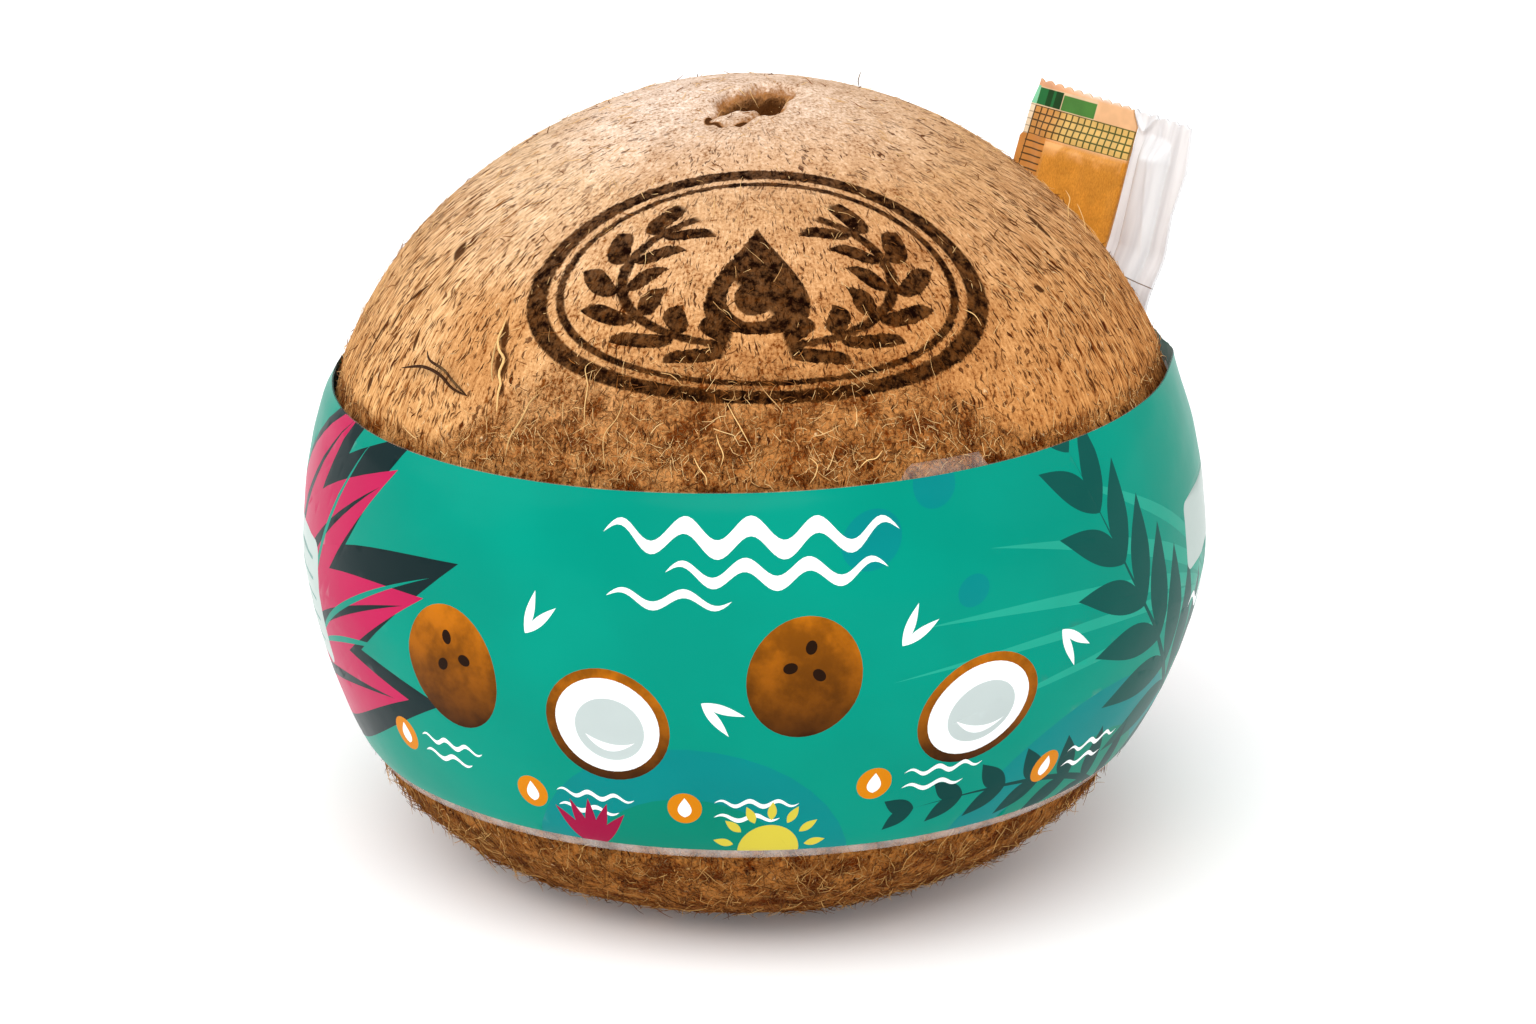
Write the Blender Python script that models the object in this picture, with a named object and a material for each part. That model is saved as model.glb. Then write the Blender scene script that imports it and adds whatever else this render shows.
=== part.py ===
"""A whole dehusked drinking coconut in a printed film sleeve, with a straw packet tucked behind it.

Run in Blender 4.5: blender --background --python part.py. Metres, +Z up. The origin is on the surface
that the nut stands on, below the axis of its round form. Azimuths are turned from the front (-Y) towards +X.
"""

import math

import bmesh
import bpy
import numpy as np
from mathutils import Vector, noise

MM = 0.001

# The nut: a rounded cone above its widest level and a flatter bowl below it
NUT_RADIUS = 61.75 * MM
DOME_HEIGHT = 65.2 * MM
DOME_RISE_POWER = 2.159
DOME_WIDTH_POWER = 1.816
BOWL_DEPTH = 44.76 * MM
BOWL_RISE_POWER = 1.379
BOWL_WIDTH_POWER = 4.094
FOOT_SHARE = 0.98
WIDEST = BOWL_DEPTH * FOOT_SHARE
BOWL_LEAN = -6.16 * MM
LOBES = 3
LOBE_DEPTH = 0.35 * MM
LOBE_AZIMUTH = math.radians(25)
DENT_SIZE = 26 * MM
DENT_DEPTH = 0.9 * MM
STUBBLE_SIZE = 9 * MM
STUBBLE_DEPTH = 0.5 * MM
FOOT_EASE = 6 * MM

# The eye end: a round hollow near the top, a pit in it and the curled plug in front of the pit
DIMPLE_CENTRE = (-2.5 * MM, -5.5 * MM)
DIMPLE_RADIUS = 8.6 * MM
DIMPLE_DEPTH = 2.2 * MM
PIT_CENTRE = (0.6 * MM, -3.2 * MM)
PIT_RADIUS = 4.2 * MM
PIT_DEPTH = 3.4 * MM
PLUG_CENTRE = (-1.4 * MM, -8.0 * MM)
PLUG_RADIUS = 3.4 * MM
PLUG_HEIGHT = 1.3 * MM

NUT_SEGMENTS = 80
BOWL_RINGS = 12
FLANK_RINGS = 15
CROWN_RINGS = 12
CROWN_START = math.radians(69)

# The sleeve: shrunk film from below the widest level to a wavy upper rim with one small tab, lower where
# it passes over the packet
SLEEVE_GAP = 0.42 * MM
SLEEVE_EASE = 3 * MM
SLEEVE_WALL = 0.45 * MM
SLEEVE_TOP = 25.65 * MM
SLEEVE_TOP_TILT = 1.74 * MM
SLEEVE_TOP_DIP = 0.64 * MM
PACKET_DIP = 7 * MM
PACKET_DIP_AZIMUTH = math.radians(127)
PACKET_DIP_HALF_WIDTH = math.radians(47)
SLEEVE_BOTTOM = -26.1 * MM
SLEEVE_BOTTOM_TILT = 0.55 * MM
TAB_AZIMUTH = math.radians(26)
TAB_HALF_WIDTH = math.radians(6)
TAB_EDGE = math.radians(0.7)
TAB_HEIGHT = 1.7 * MM
SLEEVE_ROWS = 9
SLEEVE_FINE = (math.radians(97), math.radians(167))
BRIDGE_SLOPE = 0.8
BRIDGE_SPREAD = math.radians(1.3)
BRIDGE_REACH = 2.5 * MM

# The packet: a kraft sachet and a clear wrapper round a straw, side by side behind the nut
PACKET_AZIMUTH = math.radians(130.1)
PACKET_FACING = math.radians(142)
PACKET_LEAN = math.radians(12)
PACKET_TURN = math.radians(5.7)
PACKET_LEVEL = 26.57 * MM
PACKET_OFF_NUT = 3.5 * MM
PACKET_WIDTH = 28.4 * MM
PACKET_ABOVE_START = 25.5 * MM
PACKET_BELOW_START = 36 * MM
PACKET_BEND = 14 * MM
WRAPPED_OFF_NUT = 3.4 * MM
KRAFT_SHARE = 0.648
SIDE_GAP = 0.35 * MM
SEAL_HEIGHT = 4.2 * MM
SEAL_THICKNESS = 0.4 * MM
TOOTH_PITCH = 1.7 * MM
TOOTH_DEPTH = 0.45 * MM
SACHET_THICKNESS = 1.5 * MM
SACHET_MARGIN = 1.6 * MM
STRAW_DIAMETER = 5.0 * MM
STRAW_INSET = 4.4 * MM
STRAW_END_BELOW_TOP = 4.6 * MM


def smooth_step(value):
    """0 below 0, 1 above 1, and a smooth change between them."""
    share = min(max(value, 0.0), 1.0)
    return share * share * (3 - 2 * share)


def outward(azimuth):
    return Vector((math.sin(azimuth), -math.cos(azimuth), 0))


def profile(angle):
    """Radius and level of the turned form: angle 0 at the widest level, 90 degrees at the crown."""
    across = math.cos(angle)
    rise = abs(math.sin(angle))
    if angle >= 0:
        radius = NUT_RADIUS * max(across, 0.0) ** (2 / DOME_WIDTH_POWER)
        return radius, DOME_HEIGHT * rise ** (2 / DOME_RISE_POWER)
    radius = NUT_RADIUS * across ** (2 / BOWL_WIDTH_POWER)
    return radius, -BOWL_DEPTH * rise ** (2 / BOWL_RISE_POWER)


def radius_at(level):
    """Radius of the turned form at a level above or below the widest one."""
    if level >= 0:
        rise = min(level / DOME_HEIGHT, 1.0) ** DOME_RISE_POWER
        return NUT_RADIUS * (1 - rise) ** (1 / DOME_WIDTH_POWER)
    rise = (-level / BOWL_DEPTH) ** BOWL_RISE_POWER
    return NUT_RADIUS * (1 - rise) ** (1 / BOWL_WIDTH_POWER)


def lobed(radius, azimuth):
    """The nut's section is slightly three-cornered, as its three seams make it."""
    flat = 0.5 - 0.5 * math.cos(LOBES * (azimuth - LOBE_AZIMUTH))
    return radius - LOBE_DEPTH * flat * radius / NUT_RADIUS


def axis_at(level):
    """The bowl leans to the left of the dome."""
    lean = BOWL_LEAN * (level / NUT_RADIUS) ** 2 if level < 0 else 0.0
    return Vector((lean, 0, WIDEST + level))


def hollow(point, centre, radius, depth):
    """Depth of a round hollow with soft edges at a point of the crown."""
    distance = math.hypot(point.x - centre[0], point.y - centre[1]) / radius
    return depth * max(0.0, 1 - distance**2) ** 2


def rim_level(azimuth):
    """Level of the sleeve's upper rim, without its tab."""
    level = SLEEVE_TOP + SLEEVE_TOP_TILT * math.sin(azimuth) + SLEEVE_TOP_DIP * math.cos(azimuth)
    off = (azimuth - PACKET_DIP_AZIMUTH + math.pi) % (2 * math.pi) - math.pi
    near = min(abs(off) / PACKET_DIP_HALF_WIDTH, 1.0)
    return level - PACKET_DIP * (0.5 + 0.5 * math.cos(math.pi * near))


def covered(azimuth, level):
    """1 under the sleeve and 0 a little way above and below it."""
    under_rim = smooth_step((rim_level(azimuth) - level) / SLEEVE_EASE + 1)
    return under_rim * smooth_step((level - SLEEVE_BOTTOM) / SLEEVE_EASE + 1)


def shell_point(azimuth, angle):
    """A point of the nut's surface, with its dents, stubble and eye hollow."""
    radius, level = profile(angle)
    point = axis_at(level) + outward(azimuth) * lobed(radius, azimuth)
    before = profile(angle - 0.01)
    after = profile(min(angle + 0.01, math.pi / 2))
    slope = math.atan2(before[0] - after[0], after[1] - before[1])
    normal = outward(azimuth) * math.cos(slope) + Vector((0, 0, math.sin(slope)))
    inward = covered(azimuth, level)
    dent = DENT_DEPTH * (inward + noise.noise(point / DENT_SIZE)) / 2
    low = smooth_step(-level / BOWL_DEPTH)
    stubble = STUBBLE_DEPTH * low * (inward + noise.noise(point / STUBBLE_SIZE)) / 2
    point = point - normal * (dent + stubble) * smooth_step(point.z / FOOT_EASE)
    if angle > CROWN_START:
        drop = hollow(point, DIMPLE_CENTRE, DIMPLE_RADIUS, DIMPLE_DEPTH)
        drop += hollow(point, PIT_CENTRE, PIT_RADIUS, PIT_DEPTH)
        drop -= hollow(point, PLUG_CENTRE, PLUG_RADIUS, PLUG_HEIGHT)
        point.z -= drop
    return point


def packet_axes():
    """Where the straight upper part starts, and its directions up and towards the straw's side."""
    start = axis_at(PACKET_LEVEL) + outward(PACKET_AZIMUTH) * (radius_at(PACKET_LEVEL) + PACKET_OFF_NUT)
    facing = outward(PACKET_FACING)
    level_way = Vector((math.cos(PACKET_FACING), math.sin(PACKET_FACING), 0))
    upright = Vector((0, 0, math.cos(PACKET_LEAN))) + facing * math.sin(PACKET_LEAN)
    up = upright * math.cos(PACKET_TURN) - level_way * math.sin(PACKET_TURN)
    side = -(level_way * math.cos(PACKET_TURN) + upright * math.sin(PACKET_TURN))
    return start, up, side


def packet_middle(across, along):
    """Middle surface of the packet: straight above its start, bent round the nut below it."""
    start, up, side = packet_axes()
    straight = start + up * along + side * across
    level = start.z - WIDEST + up.z * along + side.z * across
    turn = (along * math.sin(PACKET_TURN) + across * math.cos(PACKET_TURN)) / NUT_RADIUS
    azimuth = PACKET_AZIMUTH - turn
    wrapped = axis_at(level) + outward(azimuth) * (radius_at(level) + WRAPPED_OFF_NUT)
    return wrapped.lerp(straight, smooth_step(0.5 + along / PACKET_BEND))


def packet_pair(across, along, thickness):
    """The points of the packet's inner and outer face."""
    step = 0.2 * MM
    up = packet_middle(across, along + step) - packet_middle(across, along - step)
    side = packet_middle(across + step, along) - packet_middle(across - step, along)
    normal = up.cross(side).normalized()
    middle = packet_middle(across, along)
    return middle - normal * thickness / 2, middle + normal * thickness / 2


def between_seals(along):
    """0 in the top and bottom seals, and 1 over the filled length."""
    top = smooth_step((PACKET_ABOVE_START - SEAL_HEIGHT - along) / (3 * MM))
    bottom = smooth_step((along + PACKET_BELOW_START - SEAL_HEIGHT) / (3 * MM))
    return top * bottom


def sachet_thickness(across, along):
    left = smooth_step((across + PACKET_WIDTH / 2 - SACHET_MARGIN) / (2 * MM))
    right = smooth_step((kraft_edge() - SIDE_GAP / 2 - across) / (1.5 * MM))
    filled = (SACHET_THICKNESS - SEAL_THICKNESS) * between_seals(along) * left
    return SEAL_THICKNESS + filled * (0.35 + 0.65 * right)


def wrapper_thickness(across, along):
    reach = abs(across - kraft_edge() - STRAW_INSET) / (STRAW_DIAMETER / 2)
    tube = STRAW_DIAMETER * math.sqrt(max(0.0, 1 - reach**2))
    near_top = smooth_step((PACKET_ABOVE_START - STRAW_END_BELOW_TOP - along) / (2.2 * MM) + 0.6)
    near_bottom = smooth_step((along + PACKET_BELOW_START - SEAL_HEIGHT) / (2.5 * MM))
    return max(SEAL_THICKNESS, tube * near_top * near_bottom)


def kraft_edge():
    """Where the sachet ends and the wrapper begins, measured from the packet's middle."""
    return PACKET_WIDTH * (KRAFT_SHARE - 0.5)


def new_material(name, colour, roughness):
    material = bpy.data.materials.new(name)
    material.use_nodes = True
    shader = material.node_tree.nodes["Principled BSDF"]
    shader.inputs["Base Color"].default_value = (*colour, 1)
    shader.inputs["Roughness"].default_value = roughness
    shader.inputs["Metallic"].default_value = 0
    return material


def add_object(name, work, material):
    """Turn a bmesh into a named object with smooth sides."""
    bmesh.ops.recalc_face_normals(work, faces=work.faces)
    mesh = bpy.data.meshes.new(name)
    work.to_mesh(mesh)
    work.free()
    mesh.shade_smooth()
    mesh.set_sharp_from_angle(angle=math.radians(40))
    mesh.materials.append(material)
    piece = bpy.data.objects.new(name, mesh)
    bpy.context.scene.collection.objects.link(piece)
    return piece


def bridge(work, first, second, closed):
    """Quads between two rows of points; a closed row goes on round to its start."""
    count = len(first) if closed else len(first) - 1
    for here in range(count):
        after = (here + 1) % len(first)
        work.faces.new((first[here], first[after], second[after], second[here]))


def make_coconut():
    """Rings from the flat foot to the crown, closed by the foot's face and a fan at the top."""
    foot = -math.asin(FOOT_SHARE ** (BOWL_RISE_POWER / 2))
    angles = [foot * (1 - ring / BOWL_RINGS) for ring in range(BOWL_RINGS)]
    angles += [CROWN_START * ring / FLANK_RINGS for ring in range(FLANK_RINGS)]
    crown_step = (math.pi / 2 - CROWN_START) / CROWN_RINGS
    angles += [CROWN_START + crown_step * ring for ring in range(CROWN_RINGS)]
    azimuths = [2 * math.pi * turn / NUT_SEGMENTS for turn in range(NUT_SEGMENTS)]
    work = bmesh.new()
    rings = []
    for angle in angles:
        rings.append([work.verts.new(shell_point(azimuth, angle)) for azimuth in azimuths])
    for point in rings[0]:
        point.co.z = 0
    for lower, upper in zip(rings, rings[1:]):
        bridge(work, lower, upper, closed=True)
    work.faces.new(reversed(rings[0]))
    pole = work.verts.new(shell_point(0, math.pi / 2))
    for here, point in enumerate(rings[-1]):
        work.faces.new((point, rings[-1][(here + 1) % NUT_SEGMENTS], pole))
    return add_object("coconut", work, new_material("dehusked_shell", (0.42, 0.24, 0.11), 0.85))


def packet_outer_points():
    """Radius, azimuth and level of the packet's outer face, which the sleeve passes over."""
    found = []
    for row in range(25):
        along = -PACKET_BELOW_START + (PACKET_BELOW_START + 3 * MM) * row / 24
        for column in range(23):
            across = PACKET_WIDTH * (column / 22 - 0.5)
            thickness = sachet_thickness if across < kraft_edge() else wrapper_thickness
            point = packet_pair(across, along, thickness(across, along))[1]
            level = point.z - WIDEST
            point -= axis_at(level)
            found.append((math.hypot(point.x, point.y), math.atan2(point.x, -point.y), level))
    return np.array(found)


def sleeve_radius(azimuth, level, packet):
    """The film hugs the nut, and runs in straight tangents from the nut to the packet and over it."""
    hug = lobed(radius_at(level), azimuth) + SLEEVE_GAP
    beyond = np.maximum(np.abs(packet[:, 2] - level) - BRIDGE_REACH, 0)
    reach = packet[:, 0] + SLEEVE_GAP - BRIDGE_SLOPE * beyond
    turn = np.abs((azimuth - packet[:, 1] + math.pi) % (2 * math.pi) - math.pi)
    turn = np.maximum(turn - BRIDGE_SPREAD, 0)
    tangent = np.arccos(np.minimum(hug / reach, 1))
    lifted = np.where((reach > hug) & (turn < tangent), hug / np.cos(tangent - turn), hug)
    return float(lifted.max())


def sleeve_azimuths():
    """Even steps round the nut, halved where the film passes over the packet, and the tab's corners."""
    step = 2 * math.pi / NUT_SEGMENTS
    azimuths = []
    for side in (-TAB_HALF_WIDTH, TAB_HALF_WIDTH):
        azimuths += [TAB_AZIMUTH + side - TAB_EDGE, TAB_AZIMUTH + side + TAB_EDGE]
    for turn in range(NUT_SEGMENTS):
        azimuths.append(turn * step)
        if SLEEVE_FINE[0] < turn * step < SLEEVE_FINE[1]:
            azimuths.append((turn + 0.5) * step)
    return sorted(azimuths)


def make_sleeve():
    """Rows of points from the lower edge to the rim, given the film's wall outwards."""
    packet = packet_outer_points()
    work = bmesh.new()
    rows = []
    for row in range(SLEEVE_ROWS + 1):
        share = row / SLEEVE_ROWS
        points = []
        for azimuth in sleeve_azimuths():
            bottom = SLEEVE_BOTTOM + SLEEVE_BOTTOM_TILT * math.sin(azimuth)
            tab = smooth_step((TAB_HALF_WIDTH - abs(azimuth - TAB_AZIMUTH)) / TAB_EDGE)
            level = bottom + (rim_level(azimuth) - bottom) * share
            level += TAB_HEIGHT * tab if row == SLEEVE_ROWS else 0
            radius = sleeve_radius(azimuth, level, packet)
            points.append(work.verts.new(axis_at(level) + outward(azimuth) * radius))
        rows.append(points)
    for lower, upper in zip(rows, rows[1:]):
        bridge(work, lower, upper, closed=True)
    sleeve = add_object("sleeve", work, new_material("printed_film", (0.005, 0.37, 0.27), 0.35))
    wall = sleeve.modifiers.new("film_wall", "SOLIDIFY")
    wall.thickness = SLEEVE_WALL
    wall.offset = 1
    wall.use_even_offset = True
    return sleeve


def packet_rows():
    """Distances along the packet from its hidden end to its toothed top."""
    top = PACKET_ABOVE_START
    hidden = [-PACKET_BELOW_START + PACKET_BELOW_START * row / 11 for row in range(11)]
    shown = [0, 4 * MM, 8 * MM, 12 * MM, 15.5 * MM, top - 7.5 * MM, top - 5.5 * MM, top - SEAL_HEIGHT]
    return hidden + shown + [top - 2 * MM, top - 2 * TOOTH_DEPTH, top]


def make_flat_pack(name, left, right, thickness, material):
    """A closed sheet pack between two distances across the packet, its top edge cut in teeth."""
    columns = 2 * round((right - left) / TOOTH_PITCH)
    work = bmesh.new()
    inner_rows = []
    outer_rows = []
    for along in packet_rows():
        inner = []
        outer = []
        for column in range(columns + 1):
            across = left + (right - left) * column / columns
            tooth = TOOTH_DEPTH if along == PACKET_ABOVE_START and column % 2 == 0 else 0
            pair = packet_pair(across, along - tooth, thickness(across, along))
            inner.append(work.verts.new(pair[0]))
            outer.append(work.verts.new(pair[1]))
        inner_rows.append(inner)
        outer_rows.append(outer)
    for lower, upper in zip(inner_rows, inner_rows[1:]):
        bridge(work, lower, upper, closed=False)
    for lower, upper in zip(outer_rows, outer_rows[1:]):
        bridge(work, upper, lower, closed=False)
    for side in (0, -1):
        bridge(work, [row[side] for row in inner_rows], [row[side] for row in outer_rows], closed=False)
    for end in (0, -1):
        bridge(work, outer_rows[end], inner_rows[end], closed=False)
    return add_object(name, work, material)


def main():
    for old in list(bpy.data.objects):
        bpy.data.objects.remove(old)
    make_coconut()
    make_sleeve()
    edge = kraft_edge()
    half = PACKET_WIDTH / 2
    kraft = new_material("kraft_paper", (0.6, 0.28, 0.07), 0.75)
    film = new_material("clear_film", (0.9, 0.9, 0.9), 0.25)
    make_flat_pack("kraft_sachet", -half, edge - SIDE_GAP / 2, sachet_thickness, kraft)
    make_flat_pack("straw_wrapper", edge + SIDE_GAP / 2, half, wrapper_thickness, film)


main()
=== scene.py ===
import math
from functools import partialmethod

import bmesh
import bpy
import numpy as np
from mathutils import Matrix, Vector, noise
from mathutils.geometry import delaunay_2d_cdt


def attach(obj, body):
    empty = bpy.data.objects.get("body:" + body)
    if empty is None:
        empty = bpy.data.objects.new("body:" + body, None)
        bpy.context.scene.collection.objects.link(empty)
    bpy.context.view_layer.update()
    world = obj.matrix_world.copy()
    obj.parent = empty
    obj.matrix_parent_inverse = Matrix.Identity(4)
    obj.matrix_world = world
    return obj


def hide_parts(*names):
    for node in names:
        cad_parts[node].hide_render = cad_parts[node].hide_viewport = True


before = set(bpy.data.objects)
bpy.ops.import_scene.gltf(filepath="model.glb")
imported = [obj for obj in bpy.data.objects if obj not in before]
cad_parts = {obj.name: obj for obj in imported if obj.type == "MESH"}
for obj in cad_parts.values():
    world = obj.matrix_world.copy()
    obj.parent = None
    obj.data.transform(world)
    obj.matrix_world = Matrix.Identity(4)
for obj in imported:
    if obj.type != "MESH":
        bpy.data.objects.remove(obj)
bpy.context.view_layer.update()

# The nut is a whole coconut without its husk. The coir left on the shell is sanded smooth over the dome,
# where its fibres run down from the stalk's scar, and stays woolly lower down. It is shut, so one closed
# body: rounded cone above, flatter bowl below, a hollow at the scar and a flat spot that it stands on.
MM = 0.001
NUT_RADIUS = 61.75 * MM
DOME_HEIGHT = 65.2 * MM
DOME_RISE_POWER = 2.159
DOME_WIDTH_POWER = 1.816
BOWL_DEPTH = 44.76 * MM
BOWL_RISE_POWER = 1.379
BOWL_WIDTH_POWER = 4.094
FOOT_SHARE = 0.98
WIDEST = BOWL_DEPTH * FOOT_SHARE
BOWL_LEAN = -6.16 * MM
LOBES = 3
LOBE_DEPTH = 0.35 * MM
LOBE_AZIMUTH = math.radians(25)
DENT_SIZE = 26 * MM
DENT_DEPTH = 0.9 * MM
STUBBLE_SIZE = 9 * MM
STUBBLE_DEPTH = 0.5 * MM
FOOT_EASE = 6 * MM
BASIN = {"centre": (-4.5, -6.5), "half": (13.5, 11.0), "wall": 1.0, "depth": 1.3}
CAVITY = {"centre": (-0.5, -5.8), "half": (6.5, 6.9), "wall": 0.45, "depth": 2.5}
PIT = {"centre": (1.0, -3.8), "half": (5.0, 3.6), "wall": 0.8, "depth": 1.9}
PLUG = {"centre": (-2.4, -7.6), "half": (4.1, 3.5), "wall": 0.5, "depth": -2.1}
EYE = (BASIN, CAVITY, PIT, PLUG)
# A painted shadow round the front of the plug, where the hollow's lip shades it: middle and half width as
# shares of the plug's size, and how much darker it is painted
PLUG_SHADOW_RING = {"middle": 0.93, "half": 0.17, "darker": 3.0}
EYE_SHEAR = 0.36
SLEEVE_TOP = 25.65 * MM
SLEEVE_TOP_TILT = 1.74 * MM
SLEEVE_TOP_DIP = 0.64 * MM
PACKET_DIP = 7 * MM
PACKET_DIP_AZIMUTH = math.radians(127)
PACKET_DIP_HALF_WIDTH = math.radians(47)
SLEEVE_BOTTOM = -26.1 * MM
SLEEVE_BOTTOM_TILT = 0.55 * MM
SLEEVE_EASE = 3 * MM
SHELL_COLUMNS = 512
SHELL_ROWS = {"bowl": 30, "under_film": 8, "dome": 94, "crown": 60}
CROWN_START = math.radians(69)
SLOPE_STEP = 0.01


def ease(value):
    """0 below 0, 1 above 1, and a smooth change between them."""
    share = np.clip(value, 0, 1)
    return share * share * (3 - 2 * share)


def profile(angle):
    """Radius and level of the turned form: angle 0 at the widest level, 90 degrees at the crown."""
    dome = angle >= 0
    across = np.clip(np.cos(angle), 0, 1) ** np.where(dome, 2 / DOME_WIDTH_POWER, 2 / BOWL_WIDTH_POWER)
    rise = np.abs(np.sin(angle)) ** np.where(dome, 2 / DOME_RISE_POWER, 2 / BOWL_RISE_POWER)
    return NUT_RADIUS * across, np.where(dome, DOME_HEIGHT, -BOWL_DEPTH) * rise


def radius_at(level):
    """Radius of the turned form at a level above or below the widest one."""
    dome = np.clip(level / DOME_HEIGHT, 0, 1) ** DOME_RISE_POWER
    bowl = np.clip(-level / BOWL_DEPTH, 0, 1) ** BOWL_RISE_POWER
    above = (1 - dome) ** (1 / DOME_WIDTH_POWER)
    return NUT_RADIUS * np.where(level >= 0, above, (1 - bowl) ** (1 / BOWL_WIDTH_POWER))


def angle_at(level):
    """The profile's angle at a level."""
    if level >= 0:
        return math.asin((level / DOME_HEIGHT) ** (DOME_RISE_POWER / 2))
    return -math.asin((-level / BOWL_DEPTH) ** (BOWL_RISE_POWER / 2))


def lobed(radius, azimuth):
    flat = 0.5 - 0.5 * np.cos(LOBES * (azimuth - LOBE_AZIMUTH))
    return radius - LOBE_DEPTH * flat * radius / NUT_RADIUS


def place(azimuth, radius, level):
    """Points at an azimuth from the front towards the right, a radius and a level from the widest one."""
    lean = np.where(level < 0, BOWL_LEAN * (level / NUT_RADIUS) ** 2, 0)
    return np.stack([lean + radius * np.sin(azimuth), -radius * np.cos(azimuth), WIDEST + level], -1)


def rim_level(azimuth):
    """Level of the sleeve's upper rim, which dips over the packet."""
    level = SLEEVE_TOP + SLEEVE_TOP_TILT * np.sin(azimuth) + SLEEVE_TOP_DIP * np.cos(azimuth)
    off = (azimuth - PACKET_DIP_AZIMUTH + math.pi) % (2 * math.pi) - math.pi
    near = np.minimum(np.abs(off) / PACKET_DIP_HALF_WIDTH, 1)
    return level - PACKET_DIP * (0.5 + 0.5 * np.cos(math.pi * near))


def bottom_level(azimuth):
    return SLEEVE_BOTTOM + SLEEVE_BOTTOM_TILT * np.sin(azimuth)


def covered(azimuth, level):
    """1 under the sleeve and 0 a little way above and below it."""
    below_rim = ease((rim_level(azimuth) - level) / SLEEVE_EASE + 1)
    return below_rim * ease((level - SLEEVE_BOTTOM) / SLEEVE_EASE + 1)


def cloud(points, size):
    """Smooth noise at each point, about -1 to 1."""
    flat = (points / size).reshape(-1, 3)
    return np.array([noise.noise(Vector(point)) for point in flat]).reshape(points.shape[:-1])


def eye_reach(points, form):
    """0 at the middle of a form of the eye and 1 at its edge, a little uneven."""
    x, y = points[..., 0] / MM, points[..., 1] / MM
    y = y - EYE_SHEAR * (x + 2)
    wobble = 0.06 * np.sin(0.9 * x + 0.7 * y) + 0.04 * np.sin(1.7 * x - 1.3 * y + 1)
    reach = np.hypot((x - form["centre"][0]) / form["half"][0], (y - form["centre"][1]) / form["half"][1])
    return reach - wobble * (reach > 0.3)


def eye_depth(points):
    """Depth of the hollow at the stalk's scar, in mm; its plug stands up in it."""
    return sum(form["depth"] * ease((1 - eye_reach(points, form)) / form["wall"]) for form in EYE)


def eye_shade(points):
    """How dark the hollow is painted, partly darker coir and partly shade: its depth under the basin, and a
    shadow before the plug.
    """
    ring_shadow = ease(1.3 * (1 - np.abs(eye_reach(points, PLUG) - PLUG_SHADOW_RING["middle"]) / PLUG_SHADOW_RING["half"]))
    ring_shadow *= points[..., 1] < PLUG["centre"][1] * MM
    basin = BASIN["depth"] * ease((1 - eye_reach(points, BASIN)) / BASIN["wall"])
    return eye_depth(points) - basin + PLUG_SHADOW_RING["darker"] * ring_shadow


def new_mesh(name, points, faces, smooth=True):
    mesh = bpy.data.meshes.new(name)
    mesh.from_pydata(points.reshape(-1, 3).tolist(), [], faces)
    mesh.update()
    if smooth:
        mesh.shade_smooth()
    piece = bpy.data.objects.new(name, mesh)
    bpy.context.scene.collection.objects.link(piece)
    return piece


def grid_faces(rows, columns, closed):
    """Quads between rows of points; a closed row goes on round to its start."""
    across = columns if closed else columns - 1
    faces = []
    for row in range(rows - 1):
        for column in range(across):
            after = (column + 1) % columns
            faces.append((row * columns + column, row * columns + after,
                          (row + 1) * columns + after, (row + 1) * columns + column))
    return faces


def add_attribute(piece, name, values, kind="FLOAT"):
    attribute = piece.data.attributes.new(name, kind, "POINT")
    field = "vector" if kind == "FLOAT_VECTOR" else "value"
    attribute.data.foreach_set(field, np.asarray(values, np.float32).ravel())


def shell_surface():
    """Points of the nut's rows, their azimuths and levels, and the way run down from the crown in mm."""
    low_edge = angle_at(SLEEVE_BOTTOM - SLEEVE_EASE / 2)
    top_edge = angle_at(SLEEVE_TOP - SLEEVE_TOP_TILT - SLEEVE_EASE / 2)
    foot = -math.asin(FOOT_SHARE ** (BOWL_RISE_POWER / 2))
    stretches = zip((foot, low_edge, top_edge, CROWN_START),
                    (low_edge, top_edge, CROWN_START, math.pi / 2), SHELL_ROWS.values())
    angles = np.concatenate([np.linspace(start, end, rows, endpoint=False)
                             for start, end, rows in stretches])
    radius, level = (values[:, None] for values in profile(angles))
    azimuth = np.linspace(0, 2 * math.pi, SHELL_COLUMNS, endpoint=False)[None, :] + 0 * radius
    level = level + 0 * azimuth
    before, after = profile(angles - SLOPE_STEP), profile(np.minimum(angles + SLOPE_STEP, math.pi / 2))
    slope = np.arctan2(before[0] - after[0], after[1] - before[1])[:, None] + 0 * azimuth
    points = place(azimuth, lobed(radius, azimuth), level)
    outward = np.cos(slope)
    normal = np.stack([np.sin(azimuth) * outward, -np.cos(azimuth) * outward, np.sin(slope)], -1)
    inward = covered(azimuth, level)
    low = ease(-level / BOWL_DEPTH)
    drop = DENT_DEPTH * (inward + cloud(points, DENT_SIZE)) / 2
    drop += STUBBLE_DEPTH * low * (inward + cloud(points, STUBBLE_SIZE)) / 2
    points = points - normal * (drop * ease(points[..., 2] / FOOT_EASE))[..., None]
    points[..., 2] -= eye_depth(points) * MM * (angles > CROWN_START)[:, None]
    steps = np.hypot(np.diff(radius[:, 0]), np.diff(level[:, 0]))
    run = np.concatenate([np.cumsum(steps[::-1])[::-1], [0]]) / MM
    return points, azimuth, level, run[:, None] + 0 * azimuth


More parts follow.
